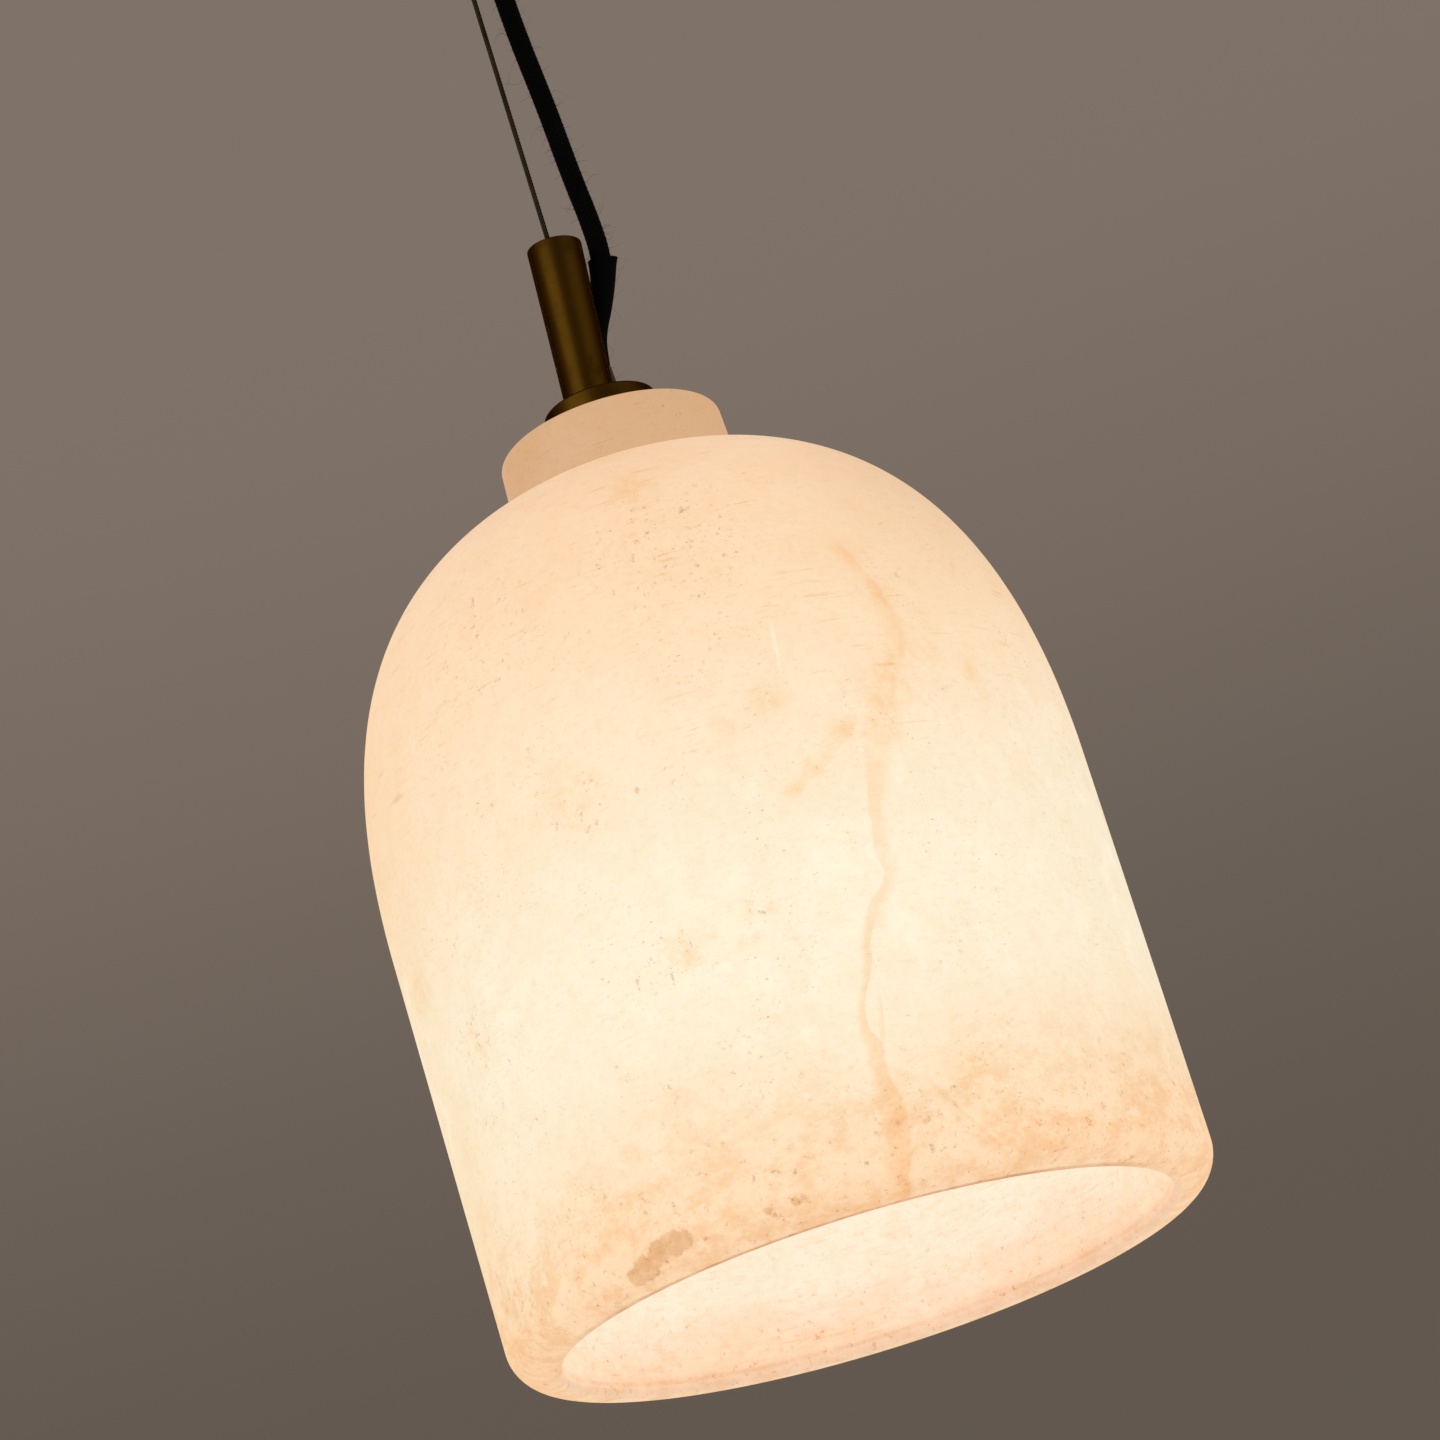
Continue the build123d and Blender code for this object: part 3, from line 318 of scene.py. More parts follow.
class Shade:
    """A node tree being laid out: short calls add nodes, set their inputs and link them."""

    def __init__(self, tree: bpy.types.NodeTree) -> None:
        """Takes up the tree of a material, a world or a node group, and clears it."""
        self.tree = tree
        tree.nodes.clear()

    @cached_property
    def where(self) -> Value:
        """The point in the object's own coordinates; a group sets it to its Vector input instead."""
        return self.get("TexCoord", "Object")

    def feed(self, socket: bpy.types.NodeSocket, value: "Value | Colour | float") -> None:
        """Links a Value into an input, or sets the input to a plain number, vector or colour.

        Args:
            socket: the input.
            value: what goes into it.
        """
        if isinstance(value, Value):
            self.tree.links.new(value.socket, socket)
        else:
            socket.default_value = (*value, 1.0) if socket.type == "RGBA" else value

    def add(self, kind: str, inputs: dict | None = None, **settings) -> bpy.types.Node:
        """Adds a node.

        Args:
            kind: the node's type name without its ShaderNode prefix.
            inputs: what goes into its inputs, by name or number.
            **settings: the node's own properties.

        Returns:
            The new node.
        """
        node = self.tree.nodes.new(f"ShaderNode{kind}")
        for key, value in settings.items():
            setattr(node, key, value)
        for key, value in (inputs or {}).items():
            self.feed(node.inputs[key], value)
        return node

    def get(self, kind: str, output: "str | int", inputs: dict | None = None, **settings) -> Value:
        """Adds a node, as add does, and takes one of its outputs."""
        return Value(self, self.add(kind, inputs, **settings).outputs[output])

    def noise(
        self,
        scale: "Value | float",
        detail: float = 4.0,
        rough: float = 0.55,
        twist: float = 0.0,
        stretch: Place | None = None,
    ) -> Value:
        """Noise from 0 to 1.

        Args:
            scale: features per metre.
            detail: how many finer layers it has.
            rough: how strong the finer layers are.
            twist: how much it is distorted.
            stretch: what the coordinates are multiplied by along each axis.

        Returns:
            The noise's value.
        """
        where = self.get("Mapping", 0, {"Vector": self.where, "Scale": stretch}) if stretch else self.where
        inputs = {"Vector": where, "Scale": scale, "Detail": detail, "Roughness": rough, "Distortion": twist}
        return self.get("TexNoise", "Fac", inputs)

    def blend(
        self, share: Value, first: "Value | Colour", second: "Value | Colour", mode: str = "MIX"
    ) -> Value:
        """Two colours mixed by share."""
        inputs = {0: share, 6: first, 7: second}  # a Mix node's sockets for its factor and its colours
        return self.get("Mix", 2, inputs, data_type="RGBA", blend_type=mode, clamp_factor=True)

    def ramp(self, value: Value, stops: Stops, ease: str = "B_SPLINE") -> Value:
        """A colour read off a ramp.

        Args:
            value: where to read it, from 0 to 1.
            stops: the ramp's places and colours.
            ease: how it goes from stop to stop.

        Returns:
            The colour.
        """
        node = self.add("ValToRGB", {"Fac": value})
        elements = node.color_ramp.elements
        node.color_ramp.interpolation = ease
        while len(elements) < len(stops):
            elements.new(0.5)
        for element, (place, colour) in zip(elements, stops):
            element.position = place
            element.color = (*colour, 1.0)
        return Value(self, node.outputs["Color"])

    def group(self, effect: Effect, **numbers: float) -> dict[str, Value]:
        """Places a shared effect with its own numbers, and hands out its outputs by name."""
        node = self.add("Group", {"Vector": self.where, **numbers}, node_tree=Effects.get(effect))
        return {output.name: Value(self, output) for output in node.outputs}

    def nearest(self, discs: tuple[tuple[Place, float], ...]) -> Value:
        """Distance in millimetres to the nearest of some discs' rims, negative inside, corners rounded off.

        Args:
            discs: each disc's centre in metres and radius in millimetres.

        Returns:
            The smallest of the distances less the radii.
        """
        least = None
        for centre, radius in discs:
            away = self.get("VectorMath", "Value", {0: self.where, 1: centre}, operation="DISTANCE")
            rim = away * (1 / MM) - radius
            least = rim if least is None else least.maths("SMOOTH_MIN", rim, 0.8)
        return least

    def mark(self, name: str) -> Value:
        """A value stored at the mesh's points."""
        return self.get("Attribute", "Fac", attribute_name=name)

    def bump(self, height: Value, depth: float) -> Value:
        """A normal from a height; depth is the relief's in metres."""
        return self.get("Bump", "Normal", {"Height": height, "Distance": depth, "Strength": 1.0})


class Effects:
    """Builds each shared node group once and hands it out."""

    _made: dict[Effect, bpy.types.NodeTree] = {}

    @classmethod
    def get(cls, effect: Effect) -> bpy.types.NodeTree:
        """The node group of an effect, built on first use.

        Args:
            effect: which one.

        Returns:
            The group: a vector and numbers go in, and values that change over the surface come out.
        """
        if effect in cls._made:
            return cls._made[effect]
        recipes = {
            Effect.CLOUDS: cls._clouds,
            Effect.TURNING: cls._turning,
            Effect.GRAIN: cls._grain,
            Effect.WEAR: cls._wear,
        }
        name, numbers = effect.value
        tree = bpy.data.node_groups.new(name, "ShaderNodeTree")
        tree.interface.new_socket("Vector", in_out="INPUT", socket_type="NodeSocketVector")
        for number in numbers:
            tree.interface.new_socket(number, in_out="INPUT", socket_type="NodeSocketFloat")
        shade = Shade(tree)
        source = tree.nodes.new("NodeGroupInput")
        shade.where = Value(shade, source.outputs["Vector"])
        found = recipes[effect](shade, *(Value(shade, source.outputs[number]) for number in numbers))
        for output in found:
            tree.interface.new_socket(output, in_out="OUTPUT", socket_type="NodeSocketFloat")
        sink = tree.nodes.new("NodeGroupOutput")
        for output, value in found.items():
            shade.feed(sink.inputs[output], value)
        cls._made[effect] = tree
        return tree

    @staticmethod
    def _clouds(shade: Shade, scale: Value, low: Value, high: Value) -> dict[str, Value]:
        """Two scales of soft noise, added 7 to 3 and cut between two levels: drifting patches."""
        mixed = shade.noise(scale, 6.0, 0.5, 0.6) * 0.7 + shade.noise(scale * 5.3, 8.0, 0.5) * 0.3
        return {"Mask": mixed.span(low, high)}

    @staticmethod
    def _turning(shade: Shade, lines: Value, breaks: Value, cut: Value) -> dict[str, Value]:
        """Noise drawn out round the axis as a lathe's fine lines, and broken up.

        Args:
            shade: the group's layout.
            lines: lines per metre of height.
            breaks: breaks per metre across.
            cut: the level over which a line shows.

        Returns:
            The mask of the lines, and the height of the relief.
        """
        parts = shade.add("SeparateXYZ", {0: shade.where}).outputs
        scaled = {axis: Value(shade, parts[axis]) * (lines if axis == 2 else breaks) for axis in range(3)}
        fine = {"Vector": shade.get("CombineXYZ", 0, scaled), "Scale": 1.0, "Detail": 3.0, "Roughness": 0.6}
        height = shade.get("TexNoise", "Fac", fine)
        patches = shade.noise(breaks, 2.0, 0.5).span(0.42, 0.62)
        return {"Mask": height.span(cut, cut + 0.12) * patches, "Height": height}

    @staticmethod
    def _grain(shade: Shade, scale: Value, amount: Value) -> dict[str, Value]:
        """Fine noise, and the same about 0 times an amount: the small unevenness of a finished surface."""
        fine = shade.noise(scale, 5.0, 0.5)
        return {"Value": (fine - 0.5) * amount, "Height": fine}

    @staticmethod
    def _wear(shade: Shade, scale: Value, specks: Value) -> dict[str, Value]:
        """Patches where hands and dust have dulled a surface, with a few small specks."""
        patches = shade.noise(scale, 7.0, 0.65).span(0.42, 0.66)
        return {"Patches": patches, "Specks": shade.noise(specks, 2.0, 0.5).span(0.68, 0.76)}


# ------------------------------------------------------------------ finishes
@dataclass(frozen=True)
class Finish:
    """What all finishes have: a name, and a recipe for what goes into the main shader."""

    name: str

    def recipe(self, shade: Shade) -> dict[str, "Value | Colour | float"]:
        """The main shader's inputs by name, laid out in the material's tree."""
        raise NotImplementedError

    def material(self) -> bpy.types.Material:
        """The finish as a material, built on first use.

        Returns:
            The material.
        """
        made = bpy.data.materials.get(self.name)
        if made is None:
            made = bpy.data.materials.new(self.name)
            made.use_nodes = True
            shade = Shade(made.node_tree)
            shade.add("OutputMaterial", {"Surface": shade.get("BsdfPrincipled", 0, self.recipe(shade))})
        return made


@dataclass(frozen=True)
class MetalFinish(Finish):
    """Metal with a drawn or turned grain and tarnish; edge tints it where it is seen aslant."""

    colour: Colour
    dulled: Colour
    rough: float
    lines: float
    edge: Colour = (1.0, 1.0, 1.0)
    relief: float = 0.01 * MM

    def recipe(self, shade: Shade) -> dict[str, "Value | Colour | float"]:
        """Turned lines in the roughness and relief, tarnish and specks in the colour.

        Args:
            shade: the material's layout.

        Returns:
            The shader's inputs by name.
        """
        lines = shade.group(Effect.TURNING, Lines=self.lines, Breaks=60.0, Cut=0.5)
        wear = shade.group(Effect.WEAR, Scale=55.0, Specks=900.0)
        grain = shade.group(Effect.GRAIN, Scale=1500.0, Amount=0.12)
        colour = shade.blend(wear["Patches"] * 0.75, self.colour, self.dulled)
        rough = lines["Height"] * 0.16 + (self.rough - 0.08) + grain["Value"] + wear["Patches"] * 0.10
        return {
            "Metallic": 1.0,
            "Specular Tint": self.edge,
            "Base Color": shade.blend(wear["Specks"] * 0.5, colour, self.dulled),
            "Roughness": rough.held(),
            "Normal": shade.bump(lines["Height"], self.relief),
        }


@dataclass(frozen=True)
class MouldedFinish(Finish):
    """Rubber, plastic, porcelain or glaze: a moulded surface with faint clouds and dust."""

    colour: Colour
    dusty: Colour
    rough: float
    coat: float = 0.0
    relief: float = 0.02 * MM
    grain: float = 900.0
    gloss: float = 0.5

    def recipe(self, shade: Shade) -> dict[str, "Value | Colour | float"]:
        """Dust patches in the colour, fine grain in the roughness and relief.

        Args:
            shade: the material's layout.

        Returns:
            The shader's inputs by name.
        """
        wear = shade.group(Effect.WEAR, Scale=70.0, Specks=1100.0)
        grain = shade.group(Effect.GRAIN, Scale=self.grain, Amount=0.15)
        return {
            "Coat Weight": self.coat,
            "Coat Roughness": 0.08,
            "Specular IOR Level": self.gloss,
            "Base Color": shade.blend(wear["Patches"] * 0.45, self.colour, self.dusty),
            "Roughness": (grain["Value"] + self.rough).held(),
            "Normal": shade.bump(grain["Height"], self.relief),
        }


@dataclass(frozen=True)
class TextileFinish(Finish):
    """A tight braid: yarns shaded by the braid stored on the mesh, with a dusty nap."""

    colour: Colour = (0.0009, 0.0008, 0.0008)
    crown: Colour = (0.0042, 0.0038, 0.0035)

    def recipe(self, shade: Shade) -> dict[str, "Value | Colour | float"]:
        """Yarn crowns lighter than the gaps, fine fibre noise over both.

        Args:
            shade: the material's layout.

        Returns:
            The shader's inputs by name.
        """
        fibre = shade.group(Effect.GRAIN, Scale=2600.0, Amount=0.9)
        wear = shade.group(Effect.WEAR, Scale=120.0, Specks=1500.0)
        share = (shade.mark("yarn") + fibre["Value"]).held() * (wear["Patches"] * 0.5 + 0.5)
        return {
            "Sheen Weight": 0.004,
            "Sheen Roughness": 0.5,
            "Specular IOR Level": 0.03,
            "Base Color": shade.blend(share, self.colour, self.crown),
            "Roughness": (fibre["Value"] + 0.88).held(),
            "Normal": shade.bump(fibre["Height"], 0.05 * MM),
        }


@dataclass(frozen=True)
class GlassFinish(Finish):
    """Clear bulb glass with a faint unevenness in its polish."""

    def recipe(self, shade: Shade) -> dict[str, "Value | Colour | float"]:
        """Plain transmission, with noise in the roughness and relief alone.

        Args:
            shade: the material's layout.

        Returns:
            The shader's inputs by name.
        """
        grain = shade.group(Effect.GRAIN, Scale=120.0, Amount=0.04)
        return {
            "Transmission Weight": 1.0,
            "IOR": 1.47,
            "Base Color": (0.98, 0.96, 0.92),
            "Roughness": (grain["Value"] + 0.03).held(),
            "Normal": shade.bump(grain["Height"], 0.02 * MM),
        }


@dataclass(frozen=True)
class FilamentFinish(Finish):
    """A lit strip of small diodes under a yellow coat."""

    glow: Stops = ((0.3, (1.0, 0.50, 0.16)), (0.7, (1.0, 0.78, 0.45)))

    def recipe(self, shade: Shade) -> dict[str, "Value | Colour | float"]:
        """The coat's colour, glowing in short lengths along the strip.

        Args:
            shade: the material's layout.

        Returns:
            The shader's inputs by name.
        """
        beads = shade.noise(700.0, 2.0)
        return {
            "Roughness": 0.5,
            "Emission Strength": 3.0,
            "Base Color": shade.blend(beads, (0.90, 0.50, 0.10), (0.98, 0.72, 0.25)),
            "Emission Color": shade.ramp(beads, self.glow, "LINEAR"),
        }


@dataclass(frozen=True)
class FloorFinish(Finish):
    """The studio's pale floor, in faint broad clouds."""

    def recipe(self, shade: Shade) -> dict[str, "Value | Colour | float"]:
        """Two pale greys mixed by soft noise, and no gloss."""
        colour = shade.blend(shade.noise(3.0), (0.56, 0.54, 0.51), (0.60, 0.58, 0.55))
        return {"Base Color": colour, "Roughness": 0.9}


@dataclass(frozen=True)
class Mark:
    """A mark on the stone: angle in degrees right of the front, height above the lip and reach in mm."""

    angle: float
    height: float
    reach: float


def marks(*rows: tuple[float, float, float]) -> tuple[Mark, ...]:
    """Marks from rows of angle, height and reach."""
    return tuple(Mark(*row) for row in rows)


@dataclass(frozen=True)
class Seam:
    """A line down the stone through marks whose reach is its half width, listed from the top down.

    The line is full at its sharp edge and fades out over the given number of half widths. That edge is on
    the right where side is 1 and on the left where it is -1. Soft is how gently it begins and ends, in mm.
    """

    name: str
    fade: float
    strength: float
    soft: float
    marks: tuple[Mark, ...]
    side: int = 1

    def window(self, level: Value) -> Value:
        """1 between the heights of the seam's ends and 0 past them.

        Args:
            level: the height above the lip, in metres.

        Returns:
            The window's value.
        """
        low, high, soft = self.marks[-1].height * MM, self.marks[0].height * MM, self.soft * MM
        return level.span(low - soft, low) * level.span(high + soft, high - soft)


@dataclass(frozen=True)
class AlabasterFinish(Finish):
    """Turned alabaster lit from inside: cream where the lamp is near, peach at the rim and crown.

    Heights are metres above the lip. Stains and spots are discs with crisp rims: a centre in metres and a
    radius in millimetres. The glows are the light from the lip up, by share of the height.
    """

    lip: float
    height: float
    neck_foot: float
    stains: tuple[tuple[Place, float], ...]
    spots: tuple[tuple[Place, float], ...]
    seams: tuple[Seam, ...]
    scratch: tuple[float, float]
    outer_glow: Stops = (
        (0.00, (0.82, 0.56, 0.35)),
        (0.08, (0.77, 0.59, 0.40)),
        (0.18, (0.76, 0.69, 0.53)),
        (0.34, (0.76, 0.72, 0.58)),
        (0.50, (0.755, 0.625, 0.45)),
        (0.66, (0.745, 0.55, 0.365)),
        (0.84, (0.71, 0.50, 0.33)),
        (0.93, (0.56, 0.36, 0.215)),
        (1.00, (0.52, 0.33, 0.195)),
    )
    inner_glow: Stops = (
        (0.00, (0.76, 0.54, 0.38)),
        (0.03, (0.78, 0.58, 0.44)),
        (0.09, (0.83, 0.69, 0.58)),
        (0.40, (0.86, 0.735, 0.635)),
        (0.80, (0.85, 0.69, 0.57)),
        (1.00, (0.64, 0.48, 0.32)),
    )
    neck_glow: Colour = (0.575, 0.335, 0.175)

    def recipe(self, shade: Shade) -> dict[str, "Value | Colour | float"]:
        """A glow and a body colour, both tinted by the same layers of marks.

        Args:
            shade: the material's layout.

        Returns:
            The shader's inputs by name.
        """
        layers = StoneLayers(self, shade)
        drift = shade.noise(11.0)
        share = layers.level / self.height + (drift - 0.5) * 0.16
        neck = layers.level.span(self.neck_foot - 1.0 * MM, self.neck_foot + 1.5 * MM)
        outer = shade.blend(neck, shade.ramp(share, self.outer_glow), self.neck_glow)
        glow = shade.blend(layers.inside, outer, shade.ramp(share, self.inner_glow))
        body = shade.blend(drift, (0.34, 0.25, 0.175), (0.38, 0.30, 0.22))
        for amount, tint in layers.tints():
            glow = shade.blend(amount, glow, tint, "MULTIPLY")
            body = shade.blend(amount, body, tint, "MULTIPLY")
        for amount, tint in layers.dimmer_sides():
            glow = shade.blend(amount, glow, tint, "MULTIPLY")
        pits = shade.noise(1300.0, 4.0, 0.6)
        return {
            "Emission Strength": 1.0,
            "Specular IOR Level": 0.3,
            # painted shade: the base colour is halved over the neck, so it reads darker
            "Base Color": shade.blend(neck, body, (0.5, 0.5, 0.5), "MULTIPLY"),
            # paled by the crystals and by painted light near the lamp
            "Emission Color": shade.blend(layers.crystals_and_lamp_glow(), glow, (0.98, 0.93, 0.80)),
            "Roughness": shade.noise(90.0, 5.0) * 0.25 + 0.34,
            "Normal": shade.bump(layers.lines["Height"] * 0.4 + pits * 0.4, 0.04 * MM),
        }


class StoneLayers:
    """The layers of marks in the stone, laid out in its material.

    The marks on the mesh hold distances in half widths from each seam, distances in mm from the lip's
    corner, strengths of the clouds, drifts and lobes, and whether a point is on the inner side.
    """

    def __init__(self, stone: AlabasterFinish, shade: Shade) -> None:
        """Lays out what several layers share.

        Args:
            stone: the finish with its seams and stains.
            shade: the material's layout.
        """
        self.stone, self.shade, self.noise, self.mark = stone, shade, shade.noise, shade.mark
        parts = shade.add("SeparateXYZ", {0: shade.where}).outputs
        self.right, self.back, up = (Value(shade, part) for part in parts)
        self.level = up - stone.lip
        self.inside = self.mark("inside")
        self.lines = shade.group(Effect.TURNING, Lines=950.0, Breaks=60.0, Cut=0.60)

    def tints(self) -> tuple[tuple[Value, Colour], ...]:
        """The stone's tints from broad to fine.

        Returns:
            Each tint's amount and the colour to multiply by.
        """
        noise, inside, turned = self.noise, self.inside, self.lines["Mask"]
        calm = inside * -0.55 + 1.0
        outside = inside * -1.0 + 1.0
        low = self.level.span(0.060, 0.004)
        band = noise(105.0, 10.0, 0.78, stretch=(0.7, 0.7, 1.0)).span(0.44, 0.60) * low
        cloud = self.shade.group(Effect.CLOUDS, Scale=15.0, Low=0.45, High=0.64)["Mask"]
        mottle = noise(95.0, 9.0, 0.72, 0.3).span(0.42, 0.68)
        grain = noise(470.0, 7.0, 0.8).span(0.46, 0.68)
        streaky = noise(95.0, 9.0, 0.74, stretch=(1.0, 1.0, 4.0)).span(0.46, 0.66)
        short = noise(260.0, 5.0, 0.7, stretch=(1.0, 1.0, 3.4)).span(0.52, 0.66)
        dash = (turned * self.level.span(0.10, 0.17, 0.25, 1.0)).most(turned * inside)
        torn = noise(210.0, 8.0, 0.74).span(0.40, 0.62, 0.2, 1.0)
        return (
            (cloud * outside * 0.5, (0.99, 0.94, 0.86)),
            (band * calm * 0.95, (0.94, 0.82, 0.69)),
            (mottle * calm * 0.45, (0.985, 0.925, 0.85)),
            (grain * 0.46, (0.95, 0.88, 0.79)),
            (short * 0.30, (0.92, 0.83, 0.73)),
            (dash * 0.75, (0.86, 0.75, 0.62)),
            (streaky * inside * 0.6, (0.975, 0.90, 0.80)),
            (self.mark("cloud") * torn * 0.9, (0.98, 0.86, 0.71)),
            (self.veins(), (0.975, 0.81, 0.65)),
            (self.specks(), (0.60, 0.43, 0.32)),
            (self.blots(), (0.80, 0.68, 0.55)),
            # painted shade at the lip's inner corner
            (self.lip_corner_shade(), (0.66, 0.50, 0.37)),
        )

    def dimmer_sides(self) -> tuple[tuple[Value, Colour], ...]:
        """Where less of the lamp's light comes through: high on the right, and along the left side."""
        high = self.right.span(0.030, 0.095) * self.level.span(0.150, 0.250)
        return ((high, (0.80, 0.75, 0.68)), (self.right.span(-0.078, -0.104), (0.985, 0.925, 0.85)))

    def specks(self) -> Value:
        """Small brown specks: fine noise above a level, kept near the drifts and the lip.

        Returns:
            Their mask.
        """
        drifts = self.noise(24.0, 3.0).span(0.52, 0.68, 0.0, 0.7).most(self.level.span(0.052, 0.010))
        drifts = drifts.most(self.mark("drift").span(0.05, 0.45))
        fine = self.noise(400.0, 7.0, 0.78).span(0.565, 0.67)
        bits = self.noise(700.0, stretch=(1.0, 1.0, 1.8)).span(0.635, 0.70)
        gathered = self.noise(42.0, 4.0, 0.6).span(0.46, 0.62, 0.08, 0.6) * (self.inside * -0.5 + 1.0)
        return (bits * gathered + fine * drifts * 0.74).held()

    def veins(self) -> Value:
        """The seams: full at their sharp edge and fading away from it, with the edge made uneven.

        Returns:
            Their mask.
        """
        wobble = (self.noise(240.0, 5.0, 0.65) - 0.5) * 1.5
        found = None
        for seam in self.stone.seams:
            away = self.mark(seam.name) + wobble
            faded = away.span(seam.fade, 0.0, 0.0, seam.strength)
            body = away.span(1.2, 0.75) * faded * seam.window(self.level)
            found = body if found is None else found.most(body)
        return found * self.noise(120.0, 6.0, 0.7).span(0.30, 0.60, 0.55, 1.0)

    def crystals_and_lamp_glow(self) -> Value:
        """Paler crystals, the marked lobes and one faint scratch, and painted light in small patches near the
        lamp.

        Returns:
            Their mask.
        """
        # painted light: brighter patches at the heights nearest the lamp
        near = self.level.span(0.020, 0.070) * self.level.span(0.170, 0.110)
        patch = self.noise(60.0, 8.0, 0.66).span(0.50, 0.72) * near * 0.22
        lobes = self.mark("lobe") * self.noise(170.0, 7.0, 0.7).span(0.36, 0.64) * 0.26
        low, high = self.stone.scratch
        window = self.level.span(low - 2 * MM, low + 5 * MM) * self.level.span(high + 2 * MM, high - 4 * MM)
        scratch = abs(self.mark("scratch")).span(1.2, 0.2, 0.0, 0.24) * window
        return patch.most(lobes).most(scratch)

    def blots(self) -> Value:
        """The tan stains and spots: inside their outline, roughened by noise, darker in patches.

        Returns:
            Their mask.
        """
        rough = self.noise(520.0, 6.0, 0.7) - 0.5
        stain = (rough * 3.0 + self.shade.nearest(self.stone.stains)).span(0.5, -0.4)
        spot = (rough * 2.4 + self.shade.nearest(self.stone.spots)).span(0.45, -0.55, 0.0, 0.9)
        return stain.most(spot) * self.noise(210.0, 5.0, 0.65).span(0.34, 0.66, 0.62, 1.0)

    def lip_corner_shade(self) -> Value:
        """Painted shade at the lip: a line along its underside, strongest in front, and a ring in a soft band
        within.

        Returns:
            Its mask.
        """
        away = self.mark("edge")
        thin = abs(away + 1.9).span(2.9, 0.9) * self.back.span(-0.030, -0.080, 0.06, 0.95)
        wide = abs(away - 2.0).span(4.5, 0.5, 0.0, 0.26)
        ring = abs(away - 3.2).span(1.6, 0.2, 0.0, 0.42)
        return thin.most(ring).most(wide) * self.noise(160.0, 6.0, 0.7).span(0.32, 0.66, 0.45, 1.0)


class Finishes:
    """The finishes of the lamp: for metal its colour, its tarnish, how rough it is and lines per metre."""

    # aged brass with painted shade: its colours and its dark edge tint are far darker than the brass itself
    SHADED_AGED_BRASS = MetalFinish(
        "shaded aged brass", (0.096, 0.046, 0.0044), (0.062, 0.029, 0.0036), 0.38, 1400.0, (0.10, 0.05, 0.01)
    )
    CONTACT_BRASS = MetalFinish("contact brass", (0.78, 0.60, 0.28), (0.55, 0.40, 0.18), 0.28, 900.0)
    ZINC = MetalFinish("zinc plated steel", (0.62, 0.62, 0.60), (0.45, 0.44, 0.41), 0.38, 700.0)
    SPRING = MetalFinish("spring steel", (0.50, 0.50, 0.50), (0.34, 0.33, 0.32), 0.25, 900.0)
    # painted shade: the wire's colours are darker and browner than the steel itself
    WIRE = MetalFinish(
        "wire strands", (0.105, 0.076, 0.048), (0.040, 0.030, 0.020), 0.40, 2500.0, (0.3, 0.25, 0.2)
    )
    EARTH = MetalFinish("green plated screw", (0.06, 0.34, 0.12), (0.04, 0.20, 0.08), 0.35, 900.0)
    TEXTILE = TextileFinish("black textile")
    SHRINK = MouldedFinish(
        "black shrunk tube", (0.001, 0.0009, 0.0008), (0.003, 0.0027, 0.0025), 0.75, gloss=0.05
    )
    RUBBER = MouldedFinish("black rubber", (0.02, 0.02, 0.02), (0.05, 0.048, 0.045), 0.6)
    RELIEF = MouldedFinish("red-brown rubber", (0.050, 0.016, 0.010), (0.075, 0.03, 0.02), 0.5)
    LEAD = MouldedFinish("lead sleeving", (0.80, 0.78, 0.72), (0.66, 0.62, 0.55), 0.55)
    NYLON = MouldedFinish("white nylon", (0.84, 0.83, 0.79), (0.70, 0.68, 0.62), 0.45)
    PORCELAIN = MouldedFinish(
        "porcelain", (0.88, 0.87, 0.84), (0.74, 0.71, 0.66), 0.25, 0.5, relief=0.01 * MM, grain=300.0
    )
    VITRITE = MouldedFinish("black glass", (0.015, 0.015, 0.015), (0.03, 0.03, 0.03), 0.15, 0.4)
    GLASS = GlassFinish("bulb glass")
    FILAMENT = FilamentFinish("lit filament")
    FLOOR = FloorFinish("pale floor")


def dress(piece: bpy.types.Object, finish: Finish) -> None:
    """Gives a piece its finish, as its only material."""
    piece.data.materials.clear()
    piece.data.materials.append(finish.material())


def settle(piece: bpy.types.Object, finish: Finish, node: str) -> None:
    """Dresses a piece that stands for a CAD node, and logs it with its size in faces.

    Args:
        piece: the piece.
        finish: what it wears.
        node: the CAD node that it replaces.
    """
    dress(piece, finish)
    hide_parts(node)
    log.info("piece %s, %d faces", piece.name, len(piece.data.polygons))


